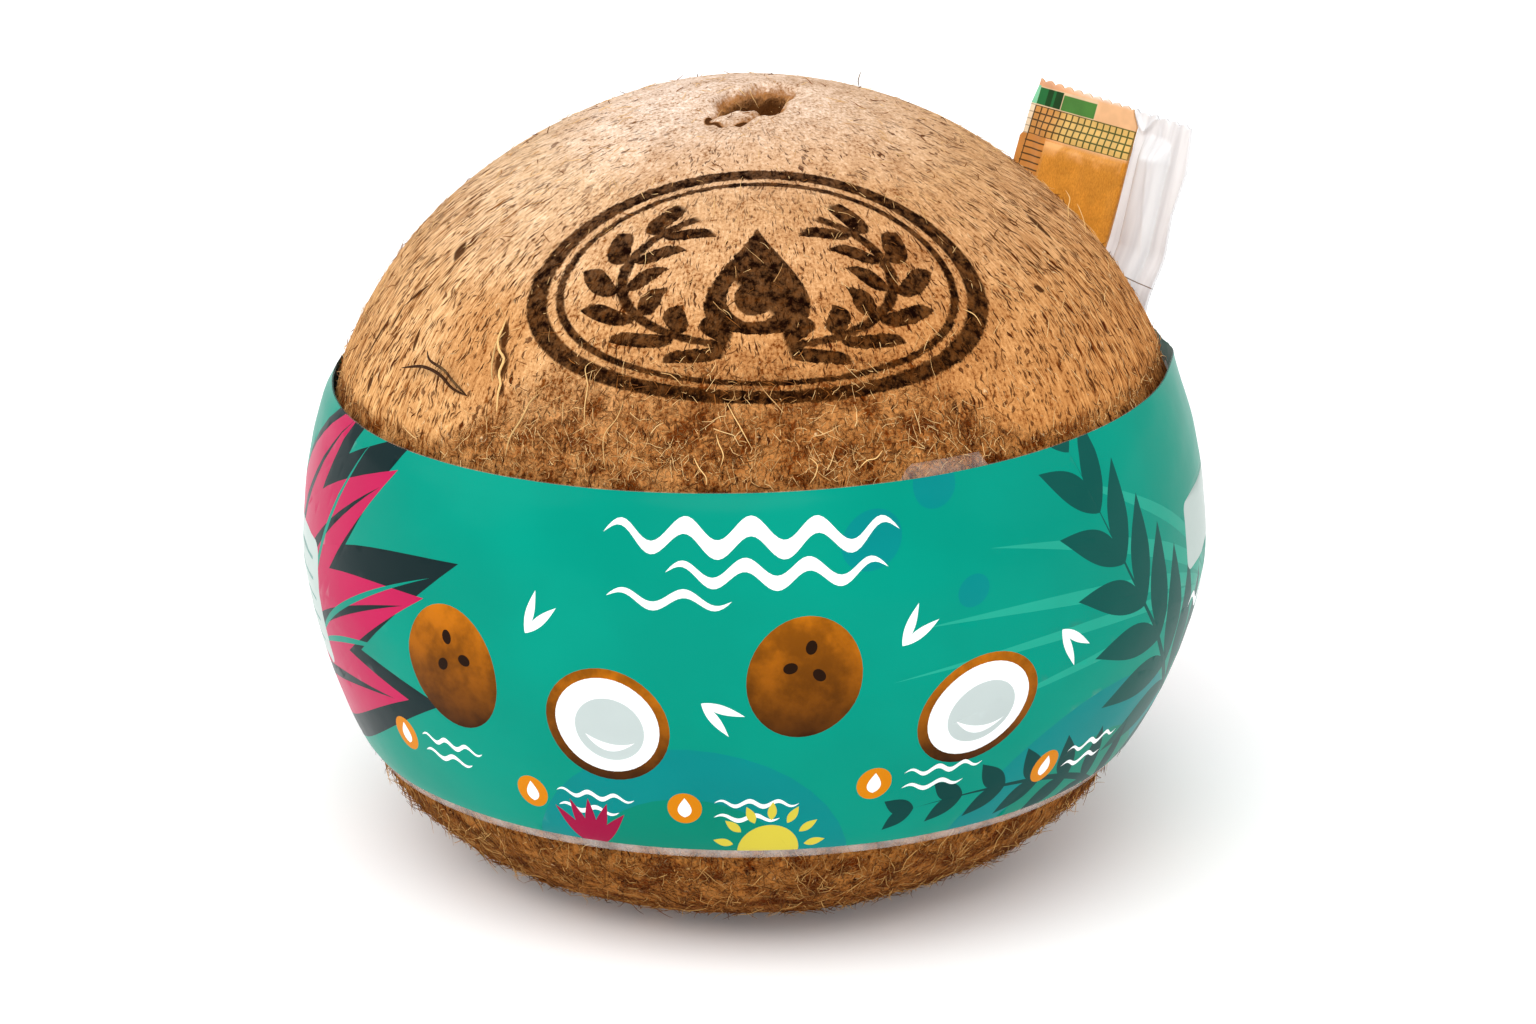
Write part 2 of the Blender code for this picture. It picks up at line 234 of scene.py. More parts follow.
class Wire:
    """A value in a node tree. Arithmetic on it adds the maths nodes."""
    __array_ufunc__ = None

    def __init__(self, wiring, socket):
        self.wiring, self.socket = wiring, socket

    def math(self, operation, *others, clamp=False):
        return self.wiring.math(operation, self, *others, clamp=clamp)

    def __rsub__(self, other):
        return self.wiring.math("SUBTRACT", other, self)

    __add__ = partialmethod(math, "ADD")
    __sub__ = partialmethod(math, "SUBTRACT")
    __mul__ = partialmethod(math, "MULTIPLY")
    __truediv__ = partialmethod(math, "DIVIDE")
    __pow__ = partialmethod(math, "POWER")
    __lt__ = partialmethod(math, "LESS_THAN")
    __gt__ = partialmethod(math, "GREATER_THAN")
    __abs__ = partialmethod(math, "ABSOLUTE")

    def vectors(self, operation, other=None):
        return self.wiring.vectors(operation, self, other)

    def noise(self, scale, detail=2.0, roughness=0.5, distortion=0.0):
        sockets = {"Vector": self, "Scale": scale, "Detail": detail, "Roughness": roughness,
                   "Distortion": distortion}
        return self.wiring.add("ShaderNodeTexNoise", sockets)["Fac"]


class Wiring:
    """Adds nodes to one tree and links them."""

    def __init__(self, tree):
        self.tree = tree

    def add(self, kind, sockets=None, **settings):
        """A new node's outputs by name or number; sockets holds what its inputs are set or linked to."""
        node = self.tree.nodes.new(kind)
        for name, value in settings.items():
            setattr(node, name, value)
        for name, value in (sockets or {}).items():
            self.feed(value, node.inputs[name])
        return Outputs(self, node)

    def feed(self, value, socket):
        """Link or set one input."""
        if isinstance(value, Wire):
            self.tree.links.new(value.socket, socket)
        else:
            socket.default_value = value

    def math(self, operation, *values, clamp=False):
        return self.add("ShaderNodeMath", dict(enumerate(values)), operation=operation, use_clamp=clamp)[0]

    def vectors(self, operation, first, second=None):
        """Vector maths; SCALE takes a number second, and distance and dot product give one."""
        sockets = {0: first, "Scale" if operation == "SCALE" else 1: second}
        if second is None:
            del sockets[1]
        output = "Value" if operation in ("DISTANCE", "DOT_PRODUCT") else 0
        return self.add("ShaderNodeVectorMath", sockets, operation=operation)[output]

    def vector(self, x, y, z):
        return self.add("ShaderNodeCombineXYZ", {"X": x, "Y": y, "Z": z})[0]

    def read(self, name, kind="Fac"):
        """A mesh attribute in a material."""
        return self.add("ShaderNodeAttribute", attribute_name=name)[kind]

    def stored(self, name, kind="FLOAT"):
        """A mesh attribute in geometry nodes."""
        return self.add("GeometryNodeInputNamedAttribute", {"Name": name}, data_type=kind)[0]

    def drive(self, name, value):
        """Feed an input of the material's shader."""
        self.feed(value, self.tree.nodes["Principled BSDF"].inputs[name])

    def bump(self, height, distance, strength):
        """Shade small relief on the material's surface."""
        sockets = {"Height": height, "Distance": distance, "Strength": strength}
        self.drive("Normal", self.add("ShaderNodeBump", sockets)[0])


class Outputs:
    """The outputs of a node, as wires."""

    def __init__(self, wiring, node):
        self.wiring, self.node = wiring, node

    def __getitem__(self, key):
        return Wire(self.wiring, self.node.outputs[key])


def parts(vector):
    node = vector.wiring.add("ShaderNodeSeparateXYZ", {"Vector": vector})
    return node[0], node[1], node[2]


def most(first, *others):
    for other in others:
        first = first.math("MAXIMUM", other)
    return first


def hypot(x, y):
    return (x ** 2.0 + y ** 2.0).math("SQRT")


def fade(value, start, end, low=0.0, high=1.0):
    """A smooth change from low to high as value goes from start to end."""
    sockets = {"Value": value, "From Min": start, "From Max": end, "To Min": low, "To Max": high}
    return value.wiring.add("ShaderNodeMapRange", sockets, interpolation_type="SMOOTHSTEP")[0]


def mix(share, first, second):
    """Colour or value mix."""
    plain = all(isinstance(v, float) or isinstance(v, Wire) and v.socket.type == "VALUE"
                for v in (first, second))
    names, output = (("A_Float", "B_Float"), 0) if plain else (("A_Color", "B_Color"), 2)
    mixer = share.wiring.add("ShaderNodeMix", data_type="FLOAT" if plain else "RGBA")
    wanted = dict(zip(("Factor_Float", *names), (share, first, second)))
    for socket in mixer.node.inputs:
        if socket.identifier in wanted:
            value = wanted[socket.identifier]
            share.wiring.feed((*value, 1) if isinstance(value, tuple) else value, socket)
    return mixer[output]


def ramp(value, stops):
    """A colour ramp through (position, colour) stops."""
    made = value.wiring.add("ShaderNodeValToRGB", {"Fac": value})
    points = made.node.color_ramp.elements
    while len(points) < len(stops):
        points.new(0.5)
    for point, (position, colour) in zip(points, stops):
        point.position = position
        point.color = (*colour, 1)
    return made["Color"]


def new_material(name, **constants):
    """A material, and its wiring with constant inputs of the shader set."""
    material = bpy.data.materials.new(name)
    material.use_nodes = True
    wiring = Wiring(material.node_tree)
    for socket, value in constants.items():
        wiring.drive(socket.replace("_", " "), value)
    return material, wiring


STREAK_RADII = (NUT_RADIUS / MM, 22.0)


def grain_noise(grain, flank, stretch, scale, detail, roughness=0.5):
    """Noise drawn out along the fibres; flank is 1 where the flank's radius spreads it, not the crown's."""
    x, y, run = parts(grain)
    along = run * stretch
    outer, crown = (grain.wiring.vector(x * radius, y * radius, along).noise(scale, detail, roughness)
                    for radius in STREAK_RADII)
    return mix(flank, crown, outer)


# Marks along the fibres: spacing across and along in mm, half the size of the largest as a share of it,
# and the share of places left without one
SMALL_SLITS = ((0.62, 2.7), 0.5, 0.2)
LONG_SLITS = ((1.3, 6.5), 0.3, 0.35)
PITS = ((1.15, 1.9), 0.33, 0.5)
PALE_THREADS = ((0.8, 5.2), 0.2, 0.45)


def dashes(grain, flank, bend, density, pitch, size, missing):
    """1 in pointed marks along the fibres; density makes them larger, and bend shifts them aside."""
    x, y, run = parts(grain)
    turn = x.math("ARCTAN2", y * -1.0)
    along = run / pitch[1]
    masks = []
    for radius in STREAK_RADII:
        across = turn * radius + bend
        spot = grain.wiring.vector(across / pitch[0], along, 0.0)
        cell = grain.wiring.add("ShaderNodeTexVoronoi", {"Vector": spot, "Scale": 1.0},
                                voronoi_dimensions="2D", distance="MANHATTAN")
        chance = parts(cell["Color"])[0]
        reach = (chance - missing) * (size / (1 - missing))
        reach = most(reach * density, 0.001)
        masks.append(fade(cell["Distance"], reach, reach * 0.45))
    return mix(flank, masks[1], masks[0])


RELIEF = {"Bundle height": 0.4 * MM, "Thread height": 0.15 * MM}


def new_tree(name, inputs):
    """Empty geometry nodes: their wiring, and their inputs by name from a table of names and kinds."""
    tree = bpy.data.node_groups.new(name, "GeometryNodeTree")
    for socket, kind in inputs.items():
        tree.interface.new_socket(socket, in_out="INPUT", socket_type="NodeSocket" + kind)
    tree.interface.new_socket("Geometry", in_out="OUTPUT", socket_type="NodeSocketGeometry")
    wiring = Wiring(tree)
    return wiring, wiring.add("NodeGroupInput")


def end_tree(wiring, geometry, material):
    real = wiring.add("GeometryNodeRealizeInstances", {0: geometry})
    painted = wiring.add("GeometryNodeSetMaterial", {"Geometry": real[0], "Material": material})
    wiring.add("NodeGroupOutput", {0: painted[0]})
    return wiring.tree


def relief_tree(material):
    """Geometry nodes that raise the fibre bundles and sink the furrows between them."""
    wiring, start = new_tree("shell_relief", {"Geometry": "Geometry", "Bundle height": "Float",
                                              "Thread height": "Float"})
    grain, bare = wiring.stored("grain", "FLOAT_VECTOR"), wiring.stored("bare")
    x, y, z = parts(wiring.add("GeometryNodeInputPosition")[0])
    radius = hypot(x, y)
    flank = fade(radius, 22 * MM, 36 * MM)
    bundles = grain_noise(grain, flank, 0.09, 0.42, 2)
    threads = grain_noise(grain, flank, 0.13, 1.1, 1)
    height = (bundles - 0.5) * start["Bundle height"]
    finer = (threads - 0.5) * start["Thread height"]
    lined = wiring.stored("lined")
    shown = bare * lined.math("MULTIPLY_ADD", 0.9, 0.1)
    lift = (height + finer) * shown
    offset = wiring.add("GeometryNodeInputNormal")[0].vectors("SCALE", lift)
    moved = wiring.add("GeometryNodeSetPosition", {"Geometry": start["Geometry"], "Offset": offset})
    return end_tree(wiring, moved[0], material)


def grow(piece, tree, sizes):
    """Give a piece the tree's result as its plain mesh; sizes holds the tree's inputs by name."""
    modifier = piece.modifiers.new(tree.name, "NODES")
    modifier.node_group = tree
    for socket in tree.interface.items_tree:
        if socket.in_out == "INPUT" and socket.name in sizes:
            modifier[socket.identifier] = sizes[socket.name]
    graph = bpy.context.evaluated_depsgraph_get()
    made = bpy.data.meshes.new_from_object(piece.evaluated_get(graph), depsgraph=graph)
    piece.modifiers.remove(modifier)
    made.name = piece.name
    piece.data = made
    made.shade_smooth()
    return piece


# The burned mark: centre and half size in mm, its rings' and stem's place and half width as shares of the
# half size, and the drop's height and width and the place of its glint in mm
MARK_CENTRE = (0.3, -39.1, 93.9)
MARK_TILT = math.radians(39.8)
MARK_HALF = (30.0, 18.0)
OUTER_RING, INNER_RING, STEM = (0.965, 0.046, 0.006), (0.862, 0.019, 0.005), (0.59, 0.026, 0.006)
LEAF_DENSITY, LEAF_SLANT, LEAF_LENGTH, LEAF_WIDTH = 2.35, 1.7, 0.2, 0.4
WREATH_FOOT, WREATH_GAP = (0.2, 0.24), (2.72, 2.66)
DROP_HEIGHT, DROP_WIDTH = 8.6, 11.0
GLINT_CENTRE, GLINT = (-0.4, -3.6), (3.1, 0.5, 0.1)


def burned_mark(place_mm):
    """1 where a hot stamp scorched the front of the dome: an oval ring, a wreath of leaves and a drop."""
    x, y, z = parts(place_mm)
    up_y = (y - MARK_CENTRE[1]) * math.cos(MARK_TILT)
    up_z = (z - MARK_CENTRE[2]) * math.sin(MARK_TILT)
    wobble = place_mm.noise(1.3, 4, 0.65) - 0.5
    u = x - MARK_CENTRE[0] + wobble * 0.8
    v = up_y + up_z + wobble * -0.8
    across = u / MARK_HALF[0]
    above = v / MARK_HALF[1]
    reach = hypot(across, above)

    def band(value, middle, half, soft):
        """1 within half of the middle, with a soft edge."""
        off = abs(value - middle)
        return fade(off, half + soft, half - soft)

    outer, inner = band(reach, *OUTER_RING), band(reach, *INNER_RING)
    turn = across.math("ARCTAN2", above * -1.0)
    side = abs(turn)
    leaf = reach - STEM[0]
    sides = []
    for sign in (1, -1):
        slant = leaf * (LEAF_SLANT * sign)
        phase = (side - slant) * LEAF_DENSITY
        off = abs(phase.math("FRACT") - 0.5)
        share = (leaf * sign).math("DIVIDE", LEAF_LENGTH, clamp=True)
        width = (share * math.pi).math("SINE") * LEAF_WIDTH
        sides.append(fade(off - width, -0.01, -0.05))
    wreath = most(band(reach, *STEM), most(*sides))
    wreath = wreath * (fade(side, *WREATH_FOOT) * fade(side, *WREATH_GAP))
    height = (v + 0.3) / DROP_HEIGHT
    taper = (1.0 - height).math("MULTIPLY", 0.5, clamp=True)
    round_foot = 1.0 - height ** 2.0
    belly = most(round_foot, 0.0).math("SQRT")
    drop = fade(abs(u) - belly * taper * DROP_WIDTH, -0.04, -0.28)
    light_u, light_v = u + -GLINT_CENTRE[0], v + -GLINT_CENTRE[1]
    lower_left = fade(light_u + light_v, 0.6, -0.6)
    drop = drop * (1.0 - band(hypot(light_u, light_v), *GLINT) * lower_left)
    return most(outer, inner, most(wreath, drop)) * (y < 0.0)


# Slits, grooves and holes where the coir has opened, and a shadow under a tuft, all painted dark with the
# shade
# in them: azimuth and level of both ends, and half the width
OPENINGS = ((-70.9, 35.1, -71.7, 39.1, 0.42), (-71.7, 38.4, -67.3, 42.7, 0.36),
            (-74.3, 29.9, -73.6, 38.1, 0.4), (-73.6, 37.2, -75.7, 45.0, 0.36),
            (-61.0, 34.8, -62.6, 38.1, 0.36), (-44.6, 42.8, -41.8, 38.3, 0.7),
            (-42.8, 39.8, -40.2, 35.4, 1.3), (-40.3, 36.2, -39.3, 33.6, 0.7),
            (-66.1, 45.4, -67.9, 47.7, 1.15), (-68.0, 27.8, -69.5, 30.8, 0.7),
            (71.9, 50.9, 71.5, 47.0, 0.75), (55.0, 44.4, 57.1, 43.5, 0.62),
            (96.0, 62.7, 82.0, 57.5, 0.5))


def opening(place_mm, from_azimuth, from_level, to_azimuth, to_level, half_width):
    """1 in a long pointed hollow between two places of the dome."""
    ends = [place(math.radians(azimuth), radius_at(level * MM), level * MM) / MM
            for azimuth, level in ((from_azimuth, from_level), (to_azimuth, to_level))]
    middle, half = (ends[0] + ends[1]) / 2, (ends[1] - ends[0]) / 2
    length = np.linalg.norm(half)
    way = tuple(half / length)
    off = place_mm.vectors("SUBTRACT", tuple(middle))
    along = off.vectors("DOT_PRODUCT", way)
    total = off.vectors("DOT_PRODUCT", off)
    aside = total - abs(along) ** 2.0
    across = most(aside, 0.0).math("SQRT") / half_width
    share = abs(along) / length
    return fade(across + share ** 1.6, 1.1, 0.65)


# Colours of the coir up the shell, and of what lies on it or opens in it
SHELL_TOP = 109.0
SHELL_COLOURS = ((0.0, (0.2, 0.062, 0.009)), (0.25, (0.28, 0.09, 0.013)), (0.64, (0.48, 0.195, 0.052)),
                 (0.8, (0.51, 0.235, 0.08)), (0.92, (0.59, 0.325, 0.15)), (1.0, (0.66, 0.435, 0.275)))
WOOL, WOOL_HOLE, WOOL_THREAD = (0.3, 0.101, 0.02), (0.075, 0.024, 0.006), (0.6, 0.34, 0.13)
THREAD_COLOUR = (0.8, 0.55, 0.3)
CHAR_DARK, CHAR_LIGHT = (0.007, 0.0012, 0.0001), (0.065, 0.018, 0.002)
# The hollows' walls and floors: partly the coir's own darker colour, partly painted shade
EYE_WALL_BROWN_AND_SHADE, HOLLOW_DARK_AND_SHADE = (0.36, 0.14, 0.03), (0.05, 0.013, 0.002)
# What multiplies the colour on the left side, painted paler there as painted light from the left, in a
# darker patch up on the left, where browned by the hot stamp or stained, in dark and pale grain and slits
LEFT_SIDE_PAINTED_LIGHT, DARKER_PATCH, HEATED, STAINED = (1.18, 1.42, 1.85), (0.8, 0.66, 0.5), (0.84, 0.73, 0.6), (0.7, 0.6, 0.5)
DARK_GRAIN, PALE_GRAIN, SLIT = (0.34, 0.18, 0.05), (1.38, 1.55, 1.8), (0.15, 0.055, 0.012)
DARKER_PATCH_CENTRE = (-35.0, -34.0, 84.0)
COIR_RELIEF = 0.55 * MM


def shell_material():
    """Dry coir: pale and sanded on top, lined and slit along the fibres at the flanks, browner and woolly
    above the film at the front and over the bowl."""
    material, wiring = new_material("coir_shell", Roughness=0.9, Specular_IOR_Level=0.02)
    grain = wiring.read("grain", "Vector")
    wool, eye, lined = (wiring.read(name) for name in ("wool", "eye", "lined"))
    spot = wiring.add("ShaderNodeTexCoord")["Object"]
    place_mm = wiring.vectors("SCALE", spot, 1 / MM)
    x, y, z = parts(place_mm)
    radius = hypot(x, y)
    flank = fade(radius, 22.0, 36.0)
    base = ramp(z.math("DIVIDE", SHELL_TOP, clamp=True), SHELL_COLOURS)

    def tinted_where(share, colour, tint):
        return mix(share, colour, base.vectors("MULTIPLY", tint))

    # Painted light: the left side of the shell is painted paler, as if lit more from the left.
    base = tinted_where(fade(x, 30.0, -32.0), base, LEFT_SIDE_PAINTED_LIGHT)
    from_patch, from_mark = (place_mm.vectors("DISTANCE", centre) for centre in (DARKER_PATCH_CENTRE, MARK_CENTRE))
    # Darker and redder in a round patch up on the left of the front.
    base = tinted_where(fade(from_patch, 12.0, 4.0, 0.0, 0.8), base, DARKER_PATCH)
    base = tinted_where(fade(from_mark, 36.0, 18.0, 0.0, 0.8), base, HEATED)
    base = mix(wool * 0.8, base, WOOL)
    base = tinted_where(fade(place_mm.noise(0.1, 4, 0.6), 0.5, 0.68, 0.0, 0.5), base, STAINED)
    streak = grain_noise(grain, flank, 0.14, 2.4, 2, 0.6)
    bundle = grain_noise(grain, flank, 0.13, 0.55, 3, 0.6)
    lying = grain_noise(grain, flank, 0.4, 1.9, 3, 0.6)
    speck = mix(fade(radius, 10.0, 28.0, 0.0, 0.4), place_mm.noise(2.2, 3, 0.65), lying)
    clump = place_mm.noise(0.33, 3, 0.6)
    tangle = place_mm.noise(0.75, 3, 0.6, 1.9)
    fine = mix(lined * 0.8, speck, streak)
    broad = mix(lined, clump, bundle)
    tone = fine * 1.5 + broad * 0.5
    clumped = place_mm.noise(0.24, 3, 0.6) - 0.52
    tone = tone + clumped * wool * 1.6
    calm = fade(radius, 14.0, 44.0, 0.6, 0.97)
    tone = (tone - 1.0).math("MULTIPLY_ADD", calm, 1.0)
    colour = tinted_where(fade(tone, 1.0, 0.78), base, DARK_GRAIN)
    colour = tinted_where(fade(tone, 0.98, 1.2), colour, PALE_GRAIN)
    bend = (place_mm.noise(0.22, 3, 0.55) - 0.5) * 5.0
    crowd = fade(place_mm.noise(0.13, 3), 0.36, 0.6, 0.85, 1.35)
    crowd = crowd * lined.math("MULTIPLY_ADD", 0.45, 0.55)
    small = dashes(grain, flank, bend, crowd, *SMALL_SLITS)
    pits = dashes(grain, flank, bend + 4.7, 1.0, *PITS)
    small = most(small, pits * fade(wool, 0.6, 0.1))
    large = dashes(grain, flank, bend, crowd, *LONG_SLITS)
    cut = most(small * 0.8, large) * fade(radius, 8.0, 26.0, 0.0, 1.0)
    light = dashes(grain, flank, bend.math("MULTIPLY_ADD", 1.6, 9.3), crowd, *PALE_THREADS)
    colour = mix(light * 0.6, colour, THREAD_COLOUR)
    colour = tinted_where(cut, colour, SLIT)
    felt = fade(abs(tangle - 0.5), 0.022, 0.006) * wool
    hole = fade(tangle, 0.42, 0.35) * wool
    colour = mix(hole * 0.7, colour, WOOL_HOLE)
    colour = mix(felt * 0.5, colour, WOOL_THREAD)
    mark = burned_mark(place_mm)
    burn = place_mm.noise(0.8, 4, 0.65)
    scorch = fade(burn, 0.62, 0.36, 0.9, 1.0) * fade(fine, 0.8, 0.6, 0.72, 1.0)
    colour = mix(mark * scorch, colour, mix(fade(burn, 0.38, 0.66), CHAR_DARK, CHAR_LIGHT))
    # Painted shade: the hollow at the scar is painted browner, then nearly black, the deeper it is; partly
    # its darker coir.
    deep = (place_mm.noise(1.2, 4, 0.7) - 0.5).math("MULTIPLY_ADD", 2.4, eye)
    colour = mix(fade(deep, 0.1, 1.3, 0.0, 0.9), colour, EYE_WALL_BROWN_AND_SHADE)
    sunk = fade(deep, 1.3, 2.6, 0.0, 0.97)
    # Painted shade: the slits, grooves and holes, and the shadow under a tuft, are painted nearly as dark
    # as the hollow's floor.
    sunk = most(sunk, *(opening(place_mm, *values) for values in OPENINGS))
    colour = mix(sunk * 0.93, colour, HOLLOW_DARK_AND_SHADE)
    wiring.drive("Base Color", colour)
    rise = fine * 0.62 + bundle * 0.4 - most(cut, sunk) * 0.7 + light * 0.15
    wiring.bump(rise + (felt - hole) * 0.45 - mark * 0.2, COIR_RELIEF, 1.0)
    return material


def wool_share(azimuth, clear):
    """1 where the coir was left woolly: deep above the rim at the front, and a low band round the rest."""
    off = np.abs((azimuth + math.radians(4) + math.pi) % (2 * math.pi) - math.pi)
    reach = 2.5 * MM + 15.5 * MM * ease((math.radians(48) - off) / math.radians(26))
    return ease(1.3 * (1 - clear / reach))


def make_shell():
    points, azimuth, level, run = shell_surface()
    rows, columns = level.shape
    faces = grid_faces(rows, columns, closed=True)
    faces.append(tuple(reversed(range(columns))))
    crown = place(np.array(0.0), np.array(0.0), np.array(DOME_HEIGHT))
    crown[2] -= eye_depth(crown) * MM
    pole = rows * columns
    last = pole - columns
    faces += [(last + column, last + (column + 1) % columns, pole) for column in range(columns)]
    shell = new_mesh("shell", np.vstack([points.reshape(-1, 3), crown]), faces)
    scar = np.array([*CAVITY["centre"]]) * MM * ease((level / DOME_HEIGHT - 0.6) / 0.4)[..., None]
    out = points[..., :2] - scar
    out /= np.linalg.norm(out, axis=-1, keepdims=True)
    grain = np.concatenate([out, run[..., None]], -1).reshape(-1, 3)
    add_attribute(shell, "grain", np.vstack([grain, [0, -1, 0]]), "FLOAT_VECTOR")
    bare = (1 - covered(azimuth, level)) * ease(points[..., 2] / FOOT_EASE)
    bare *= ease((np.hypot(points[..., 0], points[..., 1]) - 14 * MM) / (20 * MM))
    add_attribute(shell, "bare", np.append(bare, 0))
    wool = wool_share(azimuth, level - rim_level(azimuth)) * (1 - 0.2 * covered(azimuth, level))
    add_attribute(shell, "wool", np.append(wool, 0))
    off_front = np.abs((azimuth + math.pi) % (2 * math.pi) - math.pi)
    lined = ease((off_front - math.radians(26)) / math.radians(46)) * 0.94 + 0.06
    lined *= ease((np.hypot(points[..., 0], points[..., 1]) - 16 * MM) / (28 * MM))
    add_attribute(shell, "lined", np.append(lined, 0))
    add_attribute(shell, "eye", np.append(eye_shade(points) * (level > 0), eye_shade(crown)))
    return grow(shell, relief_tree(shell_material()), RELIEF)


shell = make_shell()
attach(shell, "root")
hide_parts("coconut")

# Loose coir: what the sanding left of the husk. Pale and brown fibres curl up from the woolly band above
# the film and stand out thickly from the bowl; a few lie along the grain higher up. Each is rooted in the
# shell.
STRAND_STEPS = 5
COIR_SIZES = ("Strands per square metre", "Shortest", "Longest", "Thickness", "Curl", "Spread", "Lift")
COIR_IN_MM = COIR_SIZES[1:5]


def tubes(curves, sides, thickness):
    """Closed tubes along curves."""
    circle = curves.wiring.add("GeometryNodeCurvePrimitiveCircle", {"Resolution": sides, "Radius": 0.5})
    sockets = {"Curve": curves, "Profile Curve": circle[0], "Fill Caps": True, "Scale": thickness}
    return curves.wiring.add("GeometryNodeCurveToMesh", sockets)[0]


def coir_tree(material, curl_size):
    """Geometry nodes that root tapered strands in the shell, between and away from the film's edges."""
    wiring, start = new_tree("coir_strands", {"Shell": "Geometry", **dict.fromkeys(COIR_SIZES, "Float"),
                                              "Seed": "Int"})

    def chance(low, high, seed):
        salt = start["Seed"] + float(seed)
        return wiring.add("FunctionNodeRandomValue", {2: low, 3: high, 8: salt})[1]

    roots = wiring.add("GeometryNodeDistributePointsOnFaces",
                       {"Mesh": start["Shell"], "Seed": start["Seed"],
                        "Density": start["Strands per square metre"] * wiring.stored("thick")})
    normal = roots["Normal"]
    around = wiring.vectors("CROSS_PRODUCT", (0, 0, 1), normal).vectors("NORMALIZE")
    upward = normal.vectors("CROSS_PRODUCT", around)
    free = wiring.stored("clearance") > start["Longest"]
    turned = (chance(0.0, 1.0, 1) > 0.45) * free
    flip = 1.0 - turned * 2.0
    sense = wiring.stored("away") * flip
    angle = chance(-1.0, 1.0, 2) * start["Spread"]
    way = upward.vectors("SCALE", sense * angle.math("COSINE"))
    way = way.vectors("ADD", around.vectors("SCALE", angle.math("SINE")))
    way = way.vectors("ADD", normal.vectors("SCALE", chance(0.1, 1.0, 3) * start["Lift"]))
    rotation = wiring.add("FunctionNodeAlignRotationToVector", {"Vector": way}, axis="Z")[0]
    length = chance(0.0, 1.0, 4)
    length = start["Shortest"] + length * length * (start["Longest"] - start["Shortest"])
    toned = wiring.add("GeometryNodeStoreNamedAttribute",
                       {"Geometry": roots["Points"], "Name": "tone", "Value": chance(0.0, 1.0, 5)},
                       data_type="FLOAT", domain="POINT")
    line = wiring.add("GeometryNodeCurvePrimitiveLine", {"Start": (0, 0, 0), "End": (0, 0, 1)})
    line = wiring.add("GeometryNodeResampleCurve", {"Curve": line[0], "Count": STRAND_STEPS})
    strands = wiring.add("GeometryNodeInstanceOnPoints",
                         {"Points": toned[0], "Instance": line[0], "Rotation": rotation,
                          "Scale": wiring.vector(length, length, length)})
    strands = wiring.add("GeometryNodeRealizeInstances", {"Geometry": strands[0]})
    share = wiring.add("GeometryNodeSplineParameter")["Factor"]
    spot = wiring.add("GeometryNodeInputPosition")[0].vectors("SCALE", 1 / curl_size)
    tone = wiring.stored("tone")
    salt = wiring.vector(tone, tone, tone).vectors("SCALE", 9.0)
    swirl = wiring.add("ShaderNodeTexNoise", {"Vector": spot.vectors("ADD", salt), "Scale": 1.0,
                                              "Detail": 1.0})
    swirl = swirl["Color"].vectors("ADD", (-0.5, -0.5, -0.5))
    offset = swirl.vectors("SCALE", share * start["Curl"] * 4.0)
    curled = wiring.add("GeometryNodeSetPosition", {"Geometry": strands[0], "Offset": offset})
    x, y, z = parts(wiring.add("GeometryNodeInputPosition")[0])
    above = wiring.vector(x, y, most(z, 0.3 * MM))
    curled = wiring.add("GeometryNodeSetPosition", {"Geometry": curled[0], "Position": above})
    taper = fade(share, 0.3, 1.15, 1.0, 0.25)
    return end_tree(wiring, tubes(curled[0], 3, start["Thickness"] * taper), material)


def strand_material(name, dark, light):
    """One fibre's colour lies between the two, drier and paler towards its own tone."""
    material, wiring = new_material(name, Roughness=0.7, Specular_IOR_Level=0.1)
    tone = wiring.read("tone")
    spot = wiring.add("ShaderNodeTexCoord")["Object"]
    patch = spot.noise(900.0, 2)
    share = (tone * 0.8).math("ADD", patch * 0.4, clamp=True)
    wiring.drive("Base Color", mix(share, dark, light))
    return material


def grow_coir(name, thick, material, curl_size, seed, *sizes):
    """Strands on a bare copy of the shell; thick gives their 0 to 1 share from the wool and the level."""
    sizes = {size: value * MM if size in COIR_IN_MM else value for size, value in zip(COIR_SIZES, sizes)}
    coir = new_mesh(name, np.zeros((0, 3)), [])
    coir.data = shell.data.copy()
    points = np.empty(len(coir.data.vertices) * 3)
    coir.data.vertices.foreach_get("co", points)
    points = points.reshape(-1, 3)
    level = points[:, 2] - WIDEST
    azimuth = np.arctan2(points[:, 0], -points[:, 1])
    dome = level > 0
    clearance = np.where(dome, level - rim_level(azimuth), bottom_level(azimuth) - level)
    rooted = (clearance > 0.4 * MM) & (points[:, 2] > 3 * MM)
    wool = wool_share(azimuth, np.maximum(level - rim_level(azimuth), 0)) * dome
    add_attribute(coir, "thick", thick(wool, level) * rooted)
    add_attribute(coir, "clearance", clearance)
    add_attribute(coir, "away", np.where(dome, 1.0, -1.0))
    grow(coir, coir_tree(material, curl_size * MM), {**sizes, "Seed": seed})
    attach(coir, "root")
    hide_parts("coconut")


pale_coir = strand_material("coir_pale", (0.27, 0.1, 0.02), (0.68, 0.39, 0.13))
brown_coir = strand_material("coir_brown", (0.05, 0.014, 0.002), (0.28, 0.095, 0.016))
bright_coir = strand_material("coir_bright", (0.42, 0.19, 0.05), (0.85, 0.56, 0.25))
